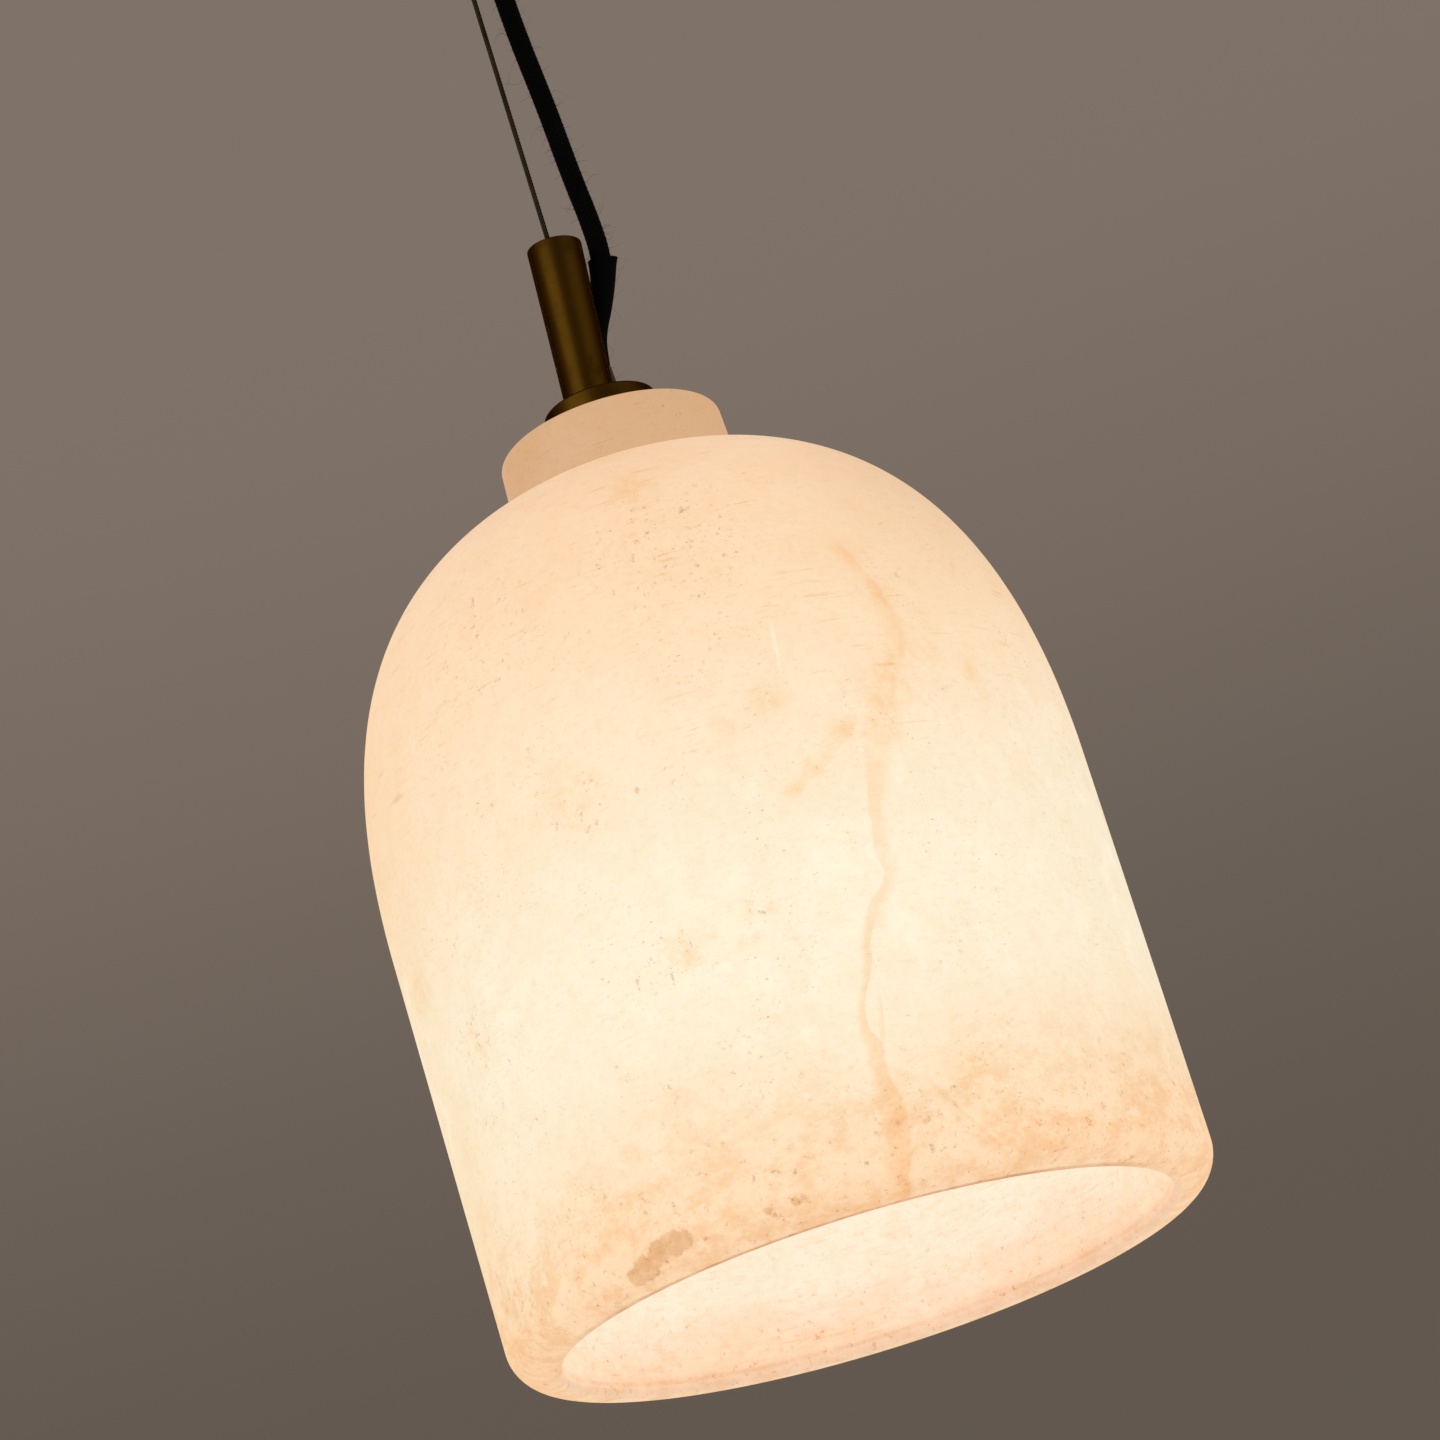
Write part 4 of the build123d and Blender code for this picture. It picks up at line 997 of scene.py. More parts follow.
# ------------------------------------------------------------------ the stone bell
@dataclass
class StoneBell:
    """The alabaster bell and its neck, one closed turned surface with its veins and stains."""

    wall: float = 14.5 * MM
    shoulder: float = 134.0 * MM
    dome_height: float = 256.6 * MM
    dome_fullness: float = 0.677
    crown_wall: float = 14.6 * MM
    lip_round: float = 10.4 * MM
    inner_round: float = 2.5 * MM
    lip_radius: float = 105.0 * MM
    neck_base: float = 35.4 * MM
    neck_radius: float = 34.6 * MM
    neck_round: float = 2.0 * MM
    hole: float = 14.5 * MM
    seat: float = 28.0 * MM
    front_columns: int = 200
    back_columns: int = 100
    front_width: float = 150.0  # degrees that the finer columns cover
    seams: tuple[Seam, ...] = (
        Seam("vein", -2.2, 0.85, 2.5, marks(
            (16.9, 77, 1.5), (15.3, 71.7, 1.4), (14.0, 66.6, 1.0), (13.9, 63, 1.1), (12.6, 58, 0.8),
            (11.2, 53, 0.8), (10.4, 48, 0.9), (10.4, 44, 1.3), (11.2, 40, 1.9), (10.8, 35, 1.8),
            (10.5, 29, 2.3), (10.6, 25.6, 2.8), (11.1, 20, 3.0), (10.6, 15, 2.8), (9.5, 8, 2.8),
            (8.9, 1, 2.8),
        )),
        Seam("streak", -2.6, 0.66, 9.0, marks(
            (25.6, 127, 4.2), (24.9, 121, 3.6), (23.6, 113, 2.6), (21.7, 105, 2.0), (21.6, 101, 1.7),
            (20.8, 96, 1.6), (20.8, 91, 1.7), (21.2, 86.5, 1.5), (20.1, 83, 1.7), (18.4, 80, 1.8),
            (16.7, 77, 1.6),
        ), side=-1),
        Seam("fork", -1.3, 0.55, 2.5, marks(
            (13.8, 53, 0.6), (13.0, 46.6, 0.7), (12.4, 42, 0.9), (11.1, 39, 1.2),
        )),
        Seam("wisp", -1.8, 0.45, 4.0, marks(
            (17.0, 27, 0.8), (20.1, 18, 0.8), (22.6, 11.4, 0.9), (26.0, 3, 1.0),
        )),
        Seam("plume", -2.6, 0.36, 6.0, marks(
            (31.5, 186, 1.6), (34.6, 171, 1.8), (35.3, 163, 1.8), (35.0, 152, 2.6), (31.5, 144, 3.2),
            (29.0, 136, 3.0), (26.0, 127, 2.6),
        )),
        Seam("branch", -2.2, 0.34, 4.0, marks(
            (24.0, 133.0, 3.6), (21.0, 129.5, 3.8), (18.7, 125.6, 3.6), (15.3, 120.0, 3.2),
            (10.5, 114.5, 2.6),
        )),
    )
    scratch: tuple[Mark, ...] = marks((15.4, 165, 0.7), (14.9, 158, 0.7), (14.3, 148, 0.4))
    # Discs whose rims are crisp; reach is the radius
    stains: tuple[Mark, ...] = marks(
        (-24.8, 6.8, 2.6), (-26.8, 7.2, 3.7), (-29.3, 6.6, 3.2), (-32.8, 4.2, 3.6), (-35.2, 3.2, 2.9),
        (-31.2, 4.9, 2.3),
    )
    spots: tuple[Mark, ...] = marks(
        (-11.1, 5.9, 1.2), (-10.4, 4.6, 0.7), (-6.7, 5.7, 1.4), (-5.6, 6.3, 0.9), (14.7, 16.6, 0.7),
        (15.4, 17.6, 0.5), (10.8, 18.1, 0.6), (-12.1, 178.0, 0.6), (-11.5, 128.0, 0.8), (24.6, 58.9, 0.6),
    )
    # Soft clouds, speck drifts and pale lobes; reach is how far they fade out
    clouds: tuple[Mark, ...] = marks(
        (21.0, 129.5, 3.6), (15.3, 120.0, 3.4), (11.0, 115.3, 3.0), (27.5, 128.0, 5.0), (29.0, 136.0, 7.0),
        (31.5, 144.0, 7.0), (34.8, 151.0, 5.0), (35.2, 163.0, 4.0), (34.7, 170.0, 4.0), (32.0, 182.6, 5.0),
        (40.5, 148.5, 4.0), (47.0, 143.5, 3.6), (48.8, 136.2, 2.6), (11.3, 141.8, 5.0), (3.2, 137.7, 3.0),
        (-22.0, 133.0, 9.0), (0.5, 222.0, 7.0), (-7.1, 82.5, 1.8), (-12.6, 78.3, 1.2), (-10.9, 78.0, 1.6),
        (-1.8, 54.5, 1.2), (-3.1, 77.9, 1.3), (5.3, 67.8, 1.2), (-0.8, 85.0, 1.6), (2.1, 84.9, 1.5),
        (-0.9, 76.8, 1.4), (-12.0, 80.0, 5.0), (-36.0, 18.0, 8.0), (24.0, 26.0, 9.0), (-53.0, 84.0, 7.0),
        (-68.0, 112.0, 9.0),
    )
    drifts: tuple[Mark, ...] = marks(
        (-0.7, 85.6, 5.0), (-10.4, 77.7, 6.0), (-17.3, 76.9, 6.0), (-11.9, 84.3, 5.0), (8.9, 69.0, 5.0),
        (5.2, 67.7, 4.0), (11.2, 18.1, 5.0), (15.2, 17.1, 5.0), (24.1, 25.6, 8.0), (-21.0, 131.0, 9.0),
        (-5.0, 127.2, 6.0), (-0.5, 197.9, 16.0), (9.0, 194.0, 14.0), (-30.0, 190.0, 16.0), (-53.0, 88.0, 8.0),
    )
    lobes: tuple[Mark, ...] = marks(
        (18.8, 88.3, 2.8), (17.4, 92.0, 3.0), (17.0, 97.1, 6.0), (12.0, 94.0, 8.0), (-1.3, 95.8, 3.0),
        (-4.2, 83.9, 3.0), (-2.9, 69.1, 4.0), (-0.5, 66.0, 4.0), (6.1, 61.1, 5.0), (2.4, 47.4, 3.0),
        (-12.5, 71.6, 3.0), (24.5, 133.0, 2.0),
    )

    def __post_init__(self) -> None:
        """Reads where the stone is from the frame."""
        low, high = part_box("alabaster_bell")
        self.lip, self.top, self.shoulder_radius = low[2], high[2], high[0]

    def dome(self, radius: float, crown: float, count: int, foot: float) -> np.ndarray:
        """A quarter of a dome by its Bezier handles, from shoulder height up to where something stands on it.

        Args:
            radius: the wall's radius at shoulder height.
            crown: the height that the whole dome would reach on the axis.
            count: how many points the whole quarter would have.
            foot: the radius at which the curve ends.

        Returns:
            Radius and height of each point.
        """
        start, pull = self.lip + self.shoulder, self.dome_fullness
        handle = start + pull * (crown - start)
        curve = bezier(((radius, start), (radius, handle), (pull * radius, crown), (0.0, crown)), count)
        height = np.interp(-foot, -curve[:, 0], curve[:, 1])
        return np.concatenate([curve[curve[:, 0] > foot], [[foot, height]]])

    def profile(self) -> tuple[np.ndarray, np.ndarray, float]:
        """The closed outline that is turned, from the hole's top edge outwards and down, and back inside.

        Returns:
            Radius and height of each point, 1 where it is on the inner side and else 0, and the height at
            which the neck stands on the dome.
        """
        lip, top, shoulder = self.lip, self.top, self.lip + self.shoulder
        crown = lip + self.dome_height
        inner_crown = crown - self.crown_wall
        lip_tangent = self.lip_radius - self.lip_round
        inner_lip, inner_shoulder = self.lip_radius - self.wall, self.shoulder_radius - self.wall
        small, neck_flat = self.inner_round, self.neck_radius - self.neck_round
        outer_dome = self.dome(self.shoulder_radius, crown, 90, self.neck_base)
        neck_foot = float(outer_dome[-1, 1])
        outer = [
            line((self.hole, top), (neck_flat, top), 9)[:-1],
            arc((neck_flat, top - self.neck_round), self.neck_round, 90, 0, 7),
            line((self.neck_radius, top - self.neck_round), (self.neck_base, neck_foot), 14)[1:-1],
            outer_dome[::-1],
            line((self.shoulder_radius, shoulder), (self.lip_radius, lip + self.lip_round), 84)[1:],
            arc((lip_tangent, lip + self.lip_round), self.lip_round, 0, -90, 14)[1:],
            line((lip_tangent, lip), (inner_lip + small, lip), 3)[1:],
        ]
        inner = [
            arc((inner_lip + small, lip + small), small, -90, -180, 7)[1:],
            line((inner_lip, lip + small), (inner_shoulder, shoulder), 44)[1:],
            self.dome(inner_shoulder, inner_crown, 50, self.seat)[1:],
            line((self.seat, inner_crown), (self.hole, inner_crown), 4),
            line((self.hole, inner_crown), (self.hole, top), 10)[1:-1],
        ]
        sides = [np.concatenate(part) for part in (outer, inner)]
        inside = np.repeat([0.0, 1.0], [len(side) for side in sides])
        return np.concatenate(sides), inside, neck_foot

    def columns(self) -> np.ndarray:
        """Angles of the columns in degrees, finer over the front, none doubled."""
        half = self.front_width / 2
        spans = ((-half, half, self.front_columns), (half, 360 - half, self.back_columns))
        return np.concatenate([np.linspace(*span, endpoint=False) for span in spans])

    def to_side(self, around: np.ndarray, angle: "np.ndarray | float") -> np.ndarray:
        """Millimetres to the right of an angle: the difference in angle times the lip's radius."""
        return np.radians((around - angle + 180) % 360 - 180) * self.lip_radius / MM

    def from_line(self, line_marks: tuple[Mark, ...], around: np.ndarray, up: np.ndarray) -> np.ndarray:
        """Distance to the right of a line down the stone, over the line's half width there.

        Args:
            line_marks: the line's marks, between which its angle and half width are read by height.
            around: the angle of each column, in degrees.
            up: the height of each row above the lip, in mm.

        Returns:
            The distance at each point.
        """
        table = np.array([(mark.height, mark.angle, mark.reach) for mark in line_marks])[::-1].T
        angle, reach = (np.interp(up, table[0], row) for row in table[1:])
        return self.to_side(around, angle) / reach

    def strength_of(self, spots: tuple[Mark, ...], around: np.ndarray, up: np.ndarray) -> np.ndarray:
        """Soft spots added up: each is e to the minus square of distance over reach, and 1 is the most.

        Args:
            spots: the marks at the spots' centres.
            around: the angle of each column, in degrees.
            up: the height of each row above the lip, in mm.

        Returns:
            The strength at each point.
        """
        away = (
            (self.to_side(around, spot.angle) ** 2 + (up - spot.height) ** 2) / spot.reach**2
            for spot in spots
        )
        return np.minimum(sum(np.exp(-square) for square in away), 1.0)

    def places_of(self, spots: tuple[Mark, ...], outline: np.ndarray) -> tuple[tuple[Place, float], ...]:
        """Where marks lie on the outer surface.

        Args:
            spots: the marks.
            outline: radius and height along the profile, whose outer part ends at its lowest point.

        Returns:
            Each mark's place in metres and its reach.
        """
        outer = outline[: int(np.argmin(outline[:, 1]))]
        found = []
        for spot in spots:
            height = self.lip + spot.height * MM
            radius = float(np.interp(-height, -outer[:, 1], outer[:, 0]))
            angle = radians(spot.angle)
            found.append(((radius * sin(angle), -radius * cos(angle), height), spot.reach))
        return tuple(found)

    def build(self) -> None:
        """Turns the outline about the axis: (radius sin a, -radius cos a, height) for each angle a."""
        outline, inside, neck_foot = self.profile()
        around = self.columns()[None, :]
        angle = np.radians(around)
        radius, height = outline[:, :1], outline[:, 1:]
        grid = np.stack(np.broadcast_arrays(radius * np.sin(angle), -radius * np.cos(angle), height), axis=-1)
        up = (height - self.lip) / MM
        inner = inside[:, None]
        far = 60.0 * inner  # carries the inner side out of every line's reach
        run = reach_of(outline)[:, None]
        corner = run[int(np.argmax(inside))] + self.inner_round * radians(22)
        stored = {
            "inside": np.broadcast_to(inner, grid.shape[:2]),
            "edge": np.broadcast_to((run - corner) / MM, grid.shape[:2]),
            "scratch": self.from_line(self.scratch, around, up) + far,
        }
        for seam in self.seams:
            stored[seam.name] = seam.side * self.from_line(seam.marks, around, up) + far
        for name, spots in (("cloud", self.clouds), ("drift", self.drifts), ("lobe", self.lobes)):
            stored[name] = self.strength_of(spots, around, up) * (1 - inner)
        bell = surface("bell_stone", grid, wrap_rows=True, marks=stored)
        finish = AlabasterFinish(
            "lit alabaster",
            lip=self.lip,
            height=self.top - self.lip,
            neck_foot=neck_foot - self.lip,
            stains=self.places_of(self.stains, outline),
            spots=self.places_of(self.spots, outline),
            seams=self.seams,
            scratch=(self.scratch[-1].height * MM, self.scratch[0].height * MM),
        )
        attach(bell, "lamp")
        settle(bell, finish, "alabaster_bell")


# ------------------------------------------------------------------ wire and cord
@dataclass
class SuspensionWire:
    """The stranded steel wire: six strands laid round a straight core."""

    radius: float = 0.80 * MM
    lay: float = 7.0 * MM
    strands: int = 6
    sides: int = 6
    step: float = 0.45 * MM

    def length_of(self, node: str, body: str, name: str) -> bpy.types.Object:
        """Lays strands over one CAD node of the wire.

        Each outer strand is a tube on a helix, at the angle start + 2 pi height / lay: a third of the
        wire's radius thick, its centre two thirds of that radius from the axis. Neighbours touch.

        Args:
            node: the CAD node that it stands for.
            body: the body that it rides on.
            name: the piece's name.

        Returns:
            The new piece.
        """
        low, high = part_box(node)
        height = np.append(np.arange(high[2], low[2], -self.step), low[2])
        thick = self.radius / 3
        helices = [(0.0, 0.0)] + [(2 * thick, start) for start in around_of(self.strands)]
        parts = []
        for reach, start in helices:
            angle = start + 2 * pi * height / self.lay
            x = (low[0] + high[0]) / 2 + reach * np.cos(angle)
            y = (low[1] + high[1]) / 2 + reach * np.sin(angle)
            helix = np.stack([x, y, height], axis=1)
            parts.append(tube(f"{name}_part", helix, high[2] - height, thick, self.sides))
        piece = join(parts, name)
        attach(piece, body)
        settle(piece, Finishes.WIRE, node)
        return piece

    def build(self) -> None:
        """Makes the bend at the gripper and the long run below it."""
        self.length_of("wire_bend", "wire_bend", "wire_bend_strands")
        run = self.length_of("suspension_wire", "hanger_wire", "wire_strands")


@dataclass(frozen=True)
class CordStretch:
    """One stretch of the cord; heights in mm, None at the route's end."""

    name: str
    top: float | None
    bottom: float | None
    bodies: tuple[str, str]
    turn: tuple[float, float]


@dataclass
class TextileCord:
    """The black textile cord from the canopy to the flange, with its nap and its shrunk sleeve."""

    flange_top: float
    radius: float = 3.0 * MM
    # The line's control points in mm, from the bushing down to the gland; z is above the flange
    route: tuple[Place, ...] = (
        (9.0, 12.8, 198.0), (9.0, 12.8, 169.0), (9.6, 12.1, 139.0), (11.8, 10.6, 109.0),
        (12.9, 8.6, 82.0), (14.3, 7.6, 64.0), (14.3, 7.6, 51.0), (11.3, 9.1, 40.0),
        (5.0, 11.5, 28.5), (3.1, 12.0, 16.5), (3.2, 12.0, 6.0), (3.2, 12.0, -5.0),
    )
    # Cut where one joint's bending ends and the next begins
    stretches: tuple[CordStretch, ...] = (
        CordStretch("cord_upper", None, -52.0, ("ceiling", "wire_bend"), (-31.0, -50.0)),
        CordStretch("cord_middle", -52.0, -92.0, ("wire_bend", "hanger_wire"), (-55.0, -84.0)),
        CordStretch("cord_lower", -92.0, None, ("hanger_wire", "lamp"), (-95.0, -152.0)),
    )
    step: float = 0.34 * MM
    sides: int = 48
    carriers: int = 16
    braid_pitch: float = 15.0 * MM
    braid_depth: float = 0.16 * MM
    swell: float = 0.26 * MM  # how much the loose stretch stands proud of the jacket
    loose_top: tuple[float, float] = (-40.0 * MM, -54.0 * MM)  # heights between which the swell sets in
    loose_foot: tuple[float, float] = (12.0 * MM, 32.0 * MM)  # and above the flange, where it ends
    fibres_per_metre: float = 5200.0
    fibre_radius: float = 0.05 * MM
    fibre_root: float = 0.15 * MM
    fibre_reach: float = 6.2 * MM
    fibre_levels: int = 7
    shrink_radius: float = 3.39 * MM
    shrink_flare: float = 0.75 * MM
    shrink_flare_run: float = 14.0 * MM
    shrink_sides: int = 40
    flap_reach: float = 1.3 * MM
    flap_run: float = 2.6 * MM
    flap_angle: float = 0.25
    flap_spread: float = 0.35
    seed: int = 11

    def centre_line(self) -> np.ndarray:
        """Points of the smooth line that has the route's points as its control points.

        Returns:
            The points, from the top down.
        """
        curve = bpy.data.curves.new("cord_route", "CURVE")
        curve.dimensions = "3D"
        curve.resolution_u = 24
        spline = curve.splines.new("NURBS")
        spline.points.add(len(self.route) - 1)
        for point, (x, y, z) in zip(spline.points, self.route):
            point.co = (x * MM, y * MM, self.flange_top + z * MM, 1.0)
        spline.order_u = 3
        spline.use_endpoint_u = True
        holder = stand("cord_route", curve)
        bpy.context.view_layer.update()
        mesh = bpy.data.meshes.new_from_object(holder)
        points = np.empty(len(mesh.vertices) * 3)
        mesh.vertices.foreach_get("co", points)
        bpy.data.objects.remove(holder)
        bpy.data.curves.remove(curve)
        bpy.data.meshes.remove(mesh)
        return points.reshape(-1, 3)

    def braid(self, along: np.ndarray) -> tuple[np.ndarray, np.ndarray]:
        """The braid's relief.

        Two families of helices, one each way, each a cosine of (half the carriers times the angle, plus or
        minus the turns made so far). The higher of the two lies on top; which one that is changes from
        diamond to diamond, as in an over and under braid.

        Args:
            along: how far along the whole cord each ring lies.

        Returns:
            Radius, and the yarn's crown from 0 to 1, at each ring and side.
        """
        angle = around_of(self.sides)[None, :]
        turns = 2 * pi * along[:, None] / self.braid_pitch
        half = self.carriers / 2
        left = 0.5 + 0.5 * np.cos(half * (angle + turns))
        right = 0.5 + 0.5 * np.cos(half * (angle - turns))
        over = 0.5 + 0.5 * np.tanh(3.0 * np.sin(half * angle) * np.sin(half * turns))
        crown = np.maximum(left * (0.6 + 0.4 * over), right * (1.0 - 0.4 * over))
        return self.radius - self.braid_depth * (1.0 - crown), crown

    def loose(self, height: np.ndarray) -> np.ndarray:
        """How loose the braid lies: 0 in the bushing and at the flange, 1 between them.

        Args:
            height: heights in metres.

        Returns:
            A share from 0 to 1 at each height.
        """
        start, full = self.loose_top
        none, whole = self.loose_foot
        top = np.clip((start - height) / (start - full), 0.0, 1.0)
        return top * np.clip((height - self.flange_top - none) / (whole - none), 0.0, 1.0)

    def nap(self, name: str, points: np.ndarray, dice: np.random.Generator) -> bpy.types.Object:
        """Loose fibres standing off the braid.

        Each fibre is a thin three-sided spike: it starts on the surface, leans along the cord, and curls
        by a random share of its length. Most are short, and a few reach far.

        Args:
            name: the piece's name.
            points: the cord's centre line.
            dice: the source of the random numbers.

        Returns:
            The new object.
        """
        points, along = along_path(points, 0.5 * MM)
        count = int(self.fibres_per_metre * along[-1])
        base = read_path(dice.uniform(0.02, 0.98, count) * along[-1], along, points)
        angle = dice.uniform(0, 2 * pi, count)
        flat = np.zeros(count)
        out = np.stack([np.cos(angle), np.sin(angle), flat], axis=1)
        side = np.stack([-np.sin(angle), np.cos(angle), flat], axis=1)
        up = np.array([0.0, 0.0, 1.0])
        reach = self.fibre_reach * (0.06 + 0.94 * dice.uniform(0.0, 1.0, count)[:, None] ** 5)
        lean = dice.normal(0.0, 0.9, count)[:, None]
        curl = dice.normal(0.0, 0.8, count)[:, None]
        rise = np.linspace(0.0, 1.0, self.fibre_levels)[:, None, None]
        spine = (
            base[None]
            + out[None] * (self.radius - self.fibre_root + reach * np.sin(rise * pi / 2))
            + up * (reach * (lean * rise**1.4 + 0.3 * curl * np.sin(rise * 5.0)))
            + side[None] * (curl * reach * rise**2)
        )
        thin = self.fibre_radius * (1.0 - 0.8 * rise)
        corner = around_of(3)[None, None, :, None]
        ring = np.cos(corner) * side[None, :, None, :] + np.sin(corner) * up
        verts = (spine[:, :, None, :] + thin[..., None] * ring).transpose(1, 0, 2, 3).reshape(-1, 3)
        one = quads_of(np.arange(self.fibre_levels - 1)[:, None], np.arange(3)[None, :], self.fibre_levels, 3)
        quads = (np.arange(count)[:, None, None] * 3 * self.fibre_levels + one[None]).reshape(-1, 4)
        mesh = bpy.data.meshes.new(name)
        mesh.from_pydata(verts.tolist(), [], quads.tolist())
        mesh.shade_smooth()
        return stand(name, mesh)

    def lay(
        self, stretch: CordStretch, whole: np.ndarray, dice: np.random.Generator, shrink: bpy.types.Object
    ) -> None:
        """Makes one stretch of the cord with its nap.

        Args:
            stretch: which one.
            whole: the whole cord's centre line.
            dice: the source of the random numbers.
            shrink: the shrunk sleeve; not used.
        """
        top = self.flange_top + self.route[0][2] * MM if stretch.top is None else stretch.top * MM
        bottom = self.flange_top + self.route[-1][2] * MM if stretch.bottom is None else stretch.bottom * MM
        inner = whole[(whole[:, 2] < top - 0.1 * MM) & (whole[:, 2] > bottom + 0.1 * MM)]
        first, last = (read_path(-level, -whole[:, 2], whole) for level in (top, bottom))
        path = np.concatenate([first[None], inner, last[None]])
        points, along = along_path(path, self.step)
        start = float(np.interp(-top, -whole[:, 2], reach_of(whole)))
        radius, crown = self.braid(along + start)
        radius = radius + self.swell * self.loose(points[:, 2:])
        cord = tube(stretch.name, points, along, radius, self.sides, marks={"yarn": crown})
        nap = self.nap(f"{stretch.name}_nap", path, dice)
        for piece in (cord, nap):
            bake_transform(piece)
            settle(piece, Finishes.TEXTILE, "power_cord")

    def shrunk_sleeve(self, whole: np.ndarray) -> bpy.types.Object:
        """The shrunk tube over the cord's lower end.

        Its radius carries a slow ripple where it shrank over the braid. At the top it widens, and its cut
        edge stands off on the right: a bump in angle times an exponential fall from the end.

        Args:
            whole: the whole cord's centre line.

        Returns:
            The new piece.
        """
        low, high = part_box("heat_shrink")
        path = whole[(whole[:, 2] < high[2]) & (whole[:, 2] > low[2] + 0.3 * MM)]
        points, along = along_path(path, 0.5 * MM)
        angle, reach = around_of(self.shrink_sides)[None, :], along[:, None]
        ripple = 0.06 * np.sin(reach / (2.3 * MM) + 1.7 * np.sin(angle))
        ripple = ripple + 0.05 * np.sin(3 * angle + reach / (4 * MM))
        middles = (self.flap_angle, self.flap_angle + 2 * pi)
        flap = sum(np.exp(-((angle - middle) ** 2) / self.flap_spread) for middle in middles)
        radius = self.shrink_radius + MM * ripple + self.flap_reach * flap * np.exp(-reach / self.flap_run)
        radius = radius + self.shrink_flare * np.exp(-reach / self.shrink_flare_run)
        piece = tube("cord_shrink_sleeve", points, along, radius, self.shrink_sides)
        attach(piece, "lamp")
        settle(piece, Finishes.SHRINK, "heat_shrink")
        return piece

    def build(self) -> None:
        """Makes the shrunk sleeve, then the three stretches of cord with their nap."""
        whole = self.centre_line()
        dice = np.random.default_rng(self.seed)
        shrink = self.shrunk_sleeve(whole)
        for stretch in self.stretches:
            self.lay(stretch, whole, dice, shrink)


# ------------------------------------------------------------------ the rest of the lamp
@dataclass
class Hardware:
    """The CAD nodes that keep their own shape, by finish; names are parted by spaces."""

    worn: tuple[tuple[Finish, str], ...] = (
        (
            Finishes.SHADED_AGED_BRASS,
            "gripper_barrel gripper_plunger canopy canopy_screws hanger_stud flange stem_sleeve",
        ),
        (
            Finishes.ZINC,
            "crossbar nipple nipple_nut block_screws wire_ferrule clamp_plate lamp_nipple clamp_nut "
            "holder_bracket bracket_nut holder_screws bulb_tip",
        ),
        (Finishes.RUBBER, "cord_bushing bushing_nut flange_gasket cord_gland bell_washer"),
        (Finishes.SPRING, "gripper_spring gripper_balls"),
        (Finishes.WIRE, "wire_tail"),
        (Finishes.EARTH, "earth_screw"),
        (Finishes.NYLON, "terminal_block"),
        (Finishes.LEAD, "canopy_leads lamp_leads"),
        (Finishes.RELIEF, "cord_relief"),
        (Finishes.PORCELAIN, "lampholder"),
        (Finishes.CONTACT_BRASS, "screw_shell centre_contact holder_terminals bulb_shell"),
        (Finishes.VITRITE, "bulb_insulator"),
        (Finishes.GLASS, "bulb_glass bulb_stem"),
        (Finishes.FILAMENT, "led_filaments"),
    )

    def build(self) -> None:
        """Dresses every node that isn't replaced, through its object's material slots."""
        for finish, nodes in self.worn:
            for node in nodes.split():
                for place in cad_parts[node].material_slots:
                    place.link = "OBJECT"
                    place.material = finish.material()
                log.info("node %s wears %s", node, finish.name)


# ------------------------------------------------------------------ studio
@dataclass(frozen=True)
class SoftLamp:
    """A soft square lamp: its place and width in metres, and its power in watts."""

    name: str
    place: Place
    width: float
    power: float

    def build(self, aim: Place) -> None:
        """Sets the lamp up, facing a point.

        Args:
            aim: the point.
        """
        data = bpy.data.lights.new(self.name, "AREA")
        data.size = self.width
        data.energy = self.power
        lamp = stand(self.name, data)
        lamp.location = self.place
        lamp.rotation_euler = (Vector(aim) - Vector(self.place)).to_track_quat("-Z", "Y").to_euler()


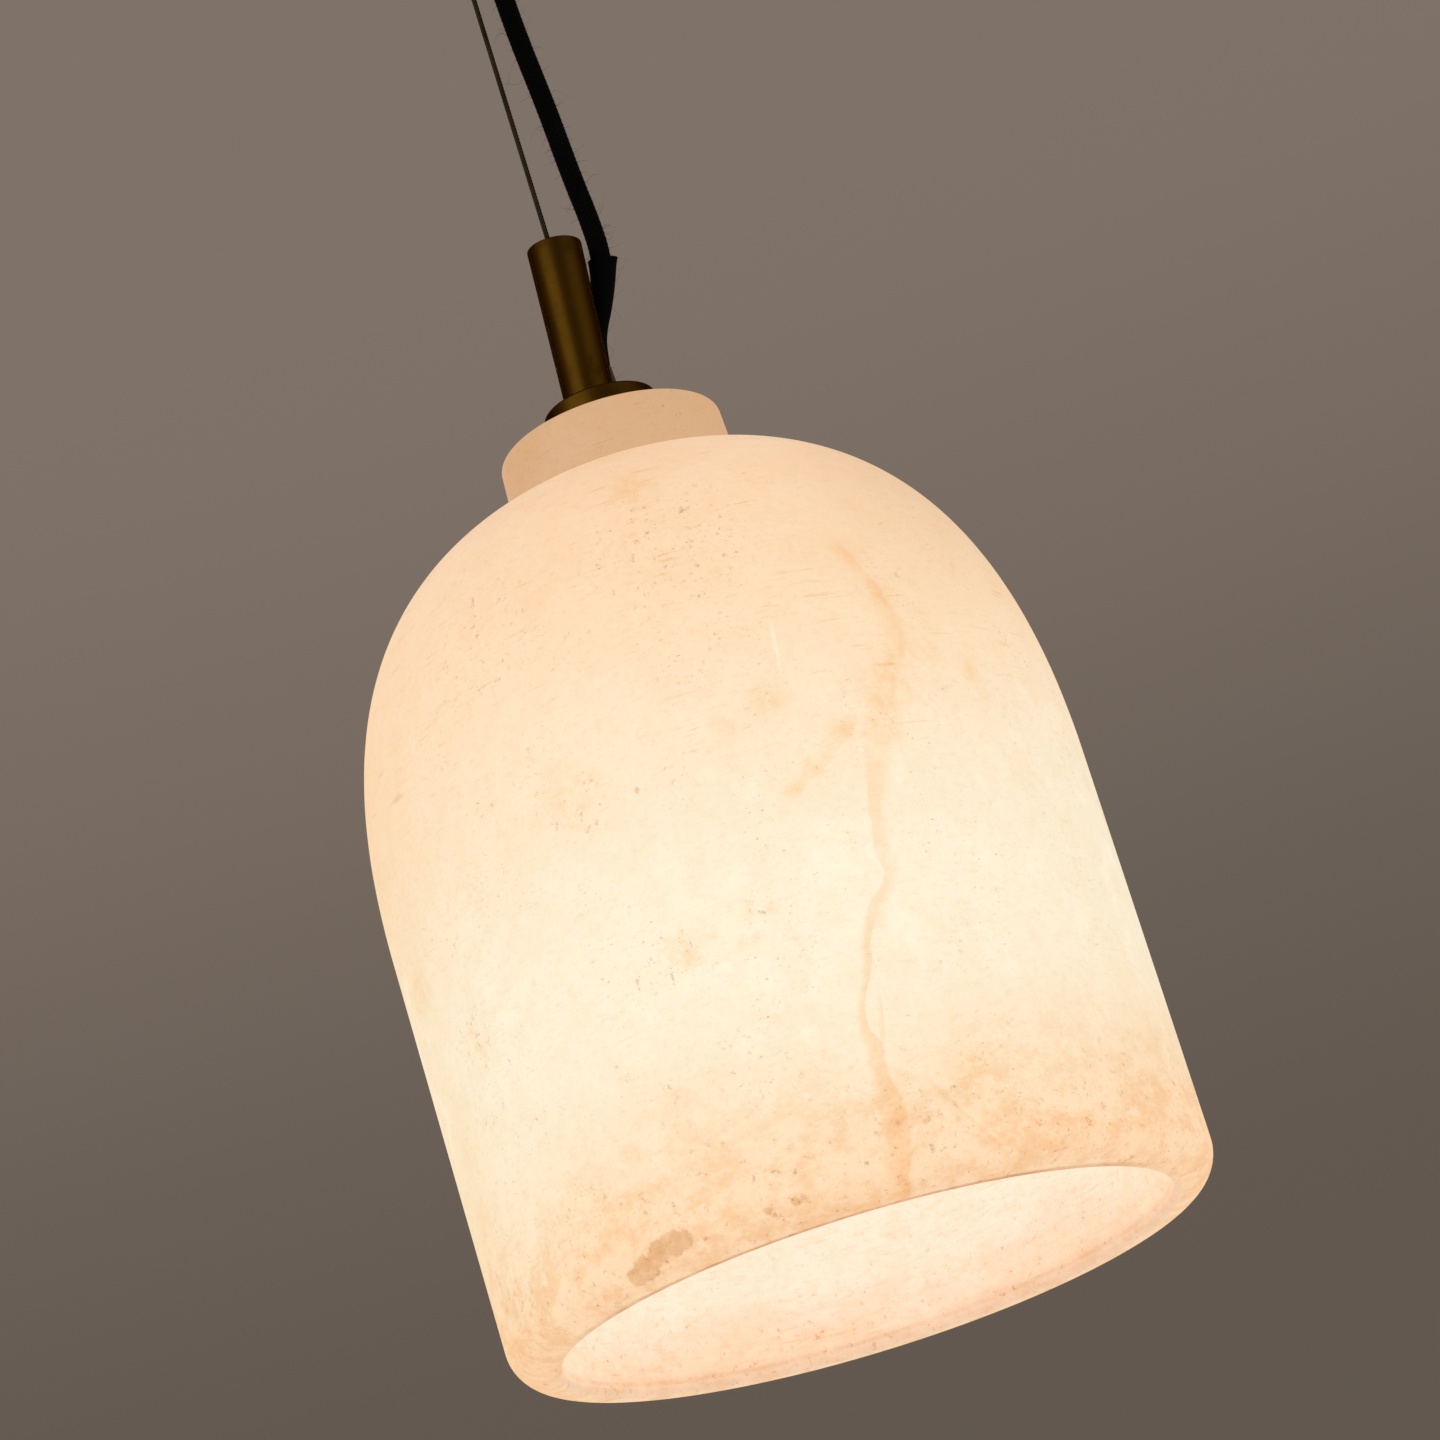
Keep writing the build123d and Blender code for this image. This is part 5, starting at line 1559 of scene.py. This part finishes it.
@dataclass
class Studio:
    """The plain room: a pale floor, an even backdrop, soft lamps and the camera."""

    floor_drop: float = 1.4
    floor_size: float = 30.0
    backdrop_low: Colour = (0.122, 0.098, 0.078)
    backdrop_high: Colour = (0.212, 0.168, 0.140)
    backdrop_rise: tuple[float, float] = (0.18, 0.44)  # slopes between which it goes from low to high
    sky: Colour = (1.0, 0.97, 0.93)
    light: float = 0.62
    lamps: tuple[SoftLamp, ...] = (
        SoftLamp("key", (-1.6, -1.9, 0.6), 2.2, 16.0),
        SoftLamp("fill", (1.9, -1.2, -0.4), 2.2, 8.0),
        SoftLamp("back", (-0.4, 1.9, 0.7), 2.0, 3.0),
    )
    aim: Place = (0.0, 0.0, -0.35)
    camera_place: Place = (0.0, -1.2642, -0.2662)  # with z above the lip
    pitch: float = 19.31
    yaw: float = 0.31
    roll: float = -17.24
    lens: float = 112.5

    def __post_init__(self) -> None:
        """Reads the height of the bell's lip from the frame."""
        self.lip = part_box("alabaster_bell")[0][2]

    def floor(self) -> None:
        """A large pale floor, well below the lamp."""
        half, level = self.floor_size / 2, self.lip - self.floor_drop
        corners = [(-half, -half, level), (half, -half, level), (half, half, level), (-half, half, level)]
        mesh = bpy.data.meshes.new("floor")
        mesh.from_pydata(corners, [], [(0, 1, 2, 3)])
        plane = stand("floor", mesh)
        dress(plane, Finishes.FLOOR)

    def world(self) -> None:
        """An even sky for light; the camera and gloss see the backdrop's warm grey, darker lower down."""
        world = bpy.data.worlds.new("studio")
        world.use_nodes = True
        bpy.context.scene.world = world
        shade = Shade(world.node_tree)
        rays = shade.add("LightPath").outputs
        kinds = ("Camera", "Glossy", "Transmission")
        camera, gloss, through = (Value(shade, rays[f"Is {kind} Ray"]) for kind in kinds)
        slope = shade.get("SeparateXYZ", 2, {0: shade.get("TexCoord", "Generated")})
        shown = shade.blend(slope.span(*self.backdrop_rise), self.backdrop_low, self.backdrop_high)
        sky = shade.get("Background", 0, {"Color": self.sky, "Strength": self.light})
        wall = shade.get("Background", 0, {"Color": shown, "Strength": 1.0})
        mixed = shade.get("MixShader", 0, {0: camera.most(gloss).most(through), 1: sky, 2: wall})
        shade.add("OutputWorld", {"Surface": mixed})

    def camera(self) -> None:
        """The camera, by the pitch, yaw and roll at which the lamp was seen."""
        pitch, yaw, roll = radians(self.pitch), radians(self.yaw), radians(self.roll)
        ahead = Vector((sin(yaw) * cos(pitch), cos(yaw) * cos(pitch), sin(pitch)))
        level = Vector((cos(yaw), -sin(yaw), 0.0))
        above = level.cross(ahead)
        right = cos(roll) * level + sin(roll) * above
        up = -sin(roll) * level + cos(roll) * above
        data = bpy.data.cameras.new("camera")
        data.lens = self.lens
        data.sensor_width = 36.0
        data.clip_start, data.clip_end = 0.01, 100.0
        camera = stand("camera", data)
        turned = Matrix((right, up, -ahead)).transposed().to_4x4()
        x, y, z = self.camera_place
        camera.matrix_world = Matrix.Translation((x, y, z + self.lip)) @ turned
        bpy.context.scene.camera = camera

    def build(self) -> None:
        """Sets the room, its lamps and the camera."""
        bpy.context.scene.view_settings.view_transform = "Standard"
        self.floor()
        self.world()
        for lamp in self.lamps:
            lamp.build(self.aim)
        self.camera()


def main() -> None:
    """Builds the room and the lamp in order."""
    logging.basicConfig(level=logging.INFO, format="%(name)s: %(message)s")
    Studio().build()
    StoneBell().build()
    SuspensionWire().build()
    TextileCord(flange_top=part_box("flange")[1][2]).build()
    Hardware().build()


if __name__ == "__main__":
    main()
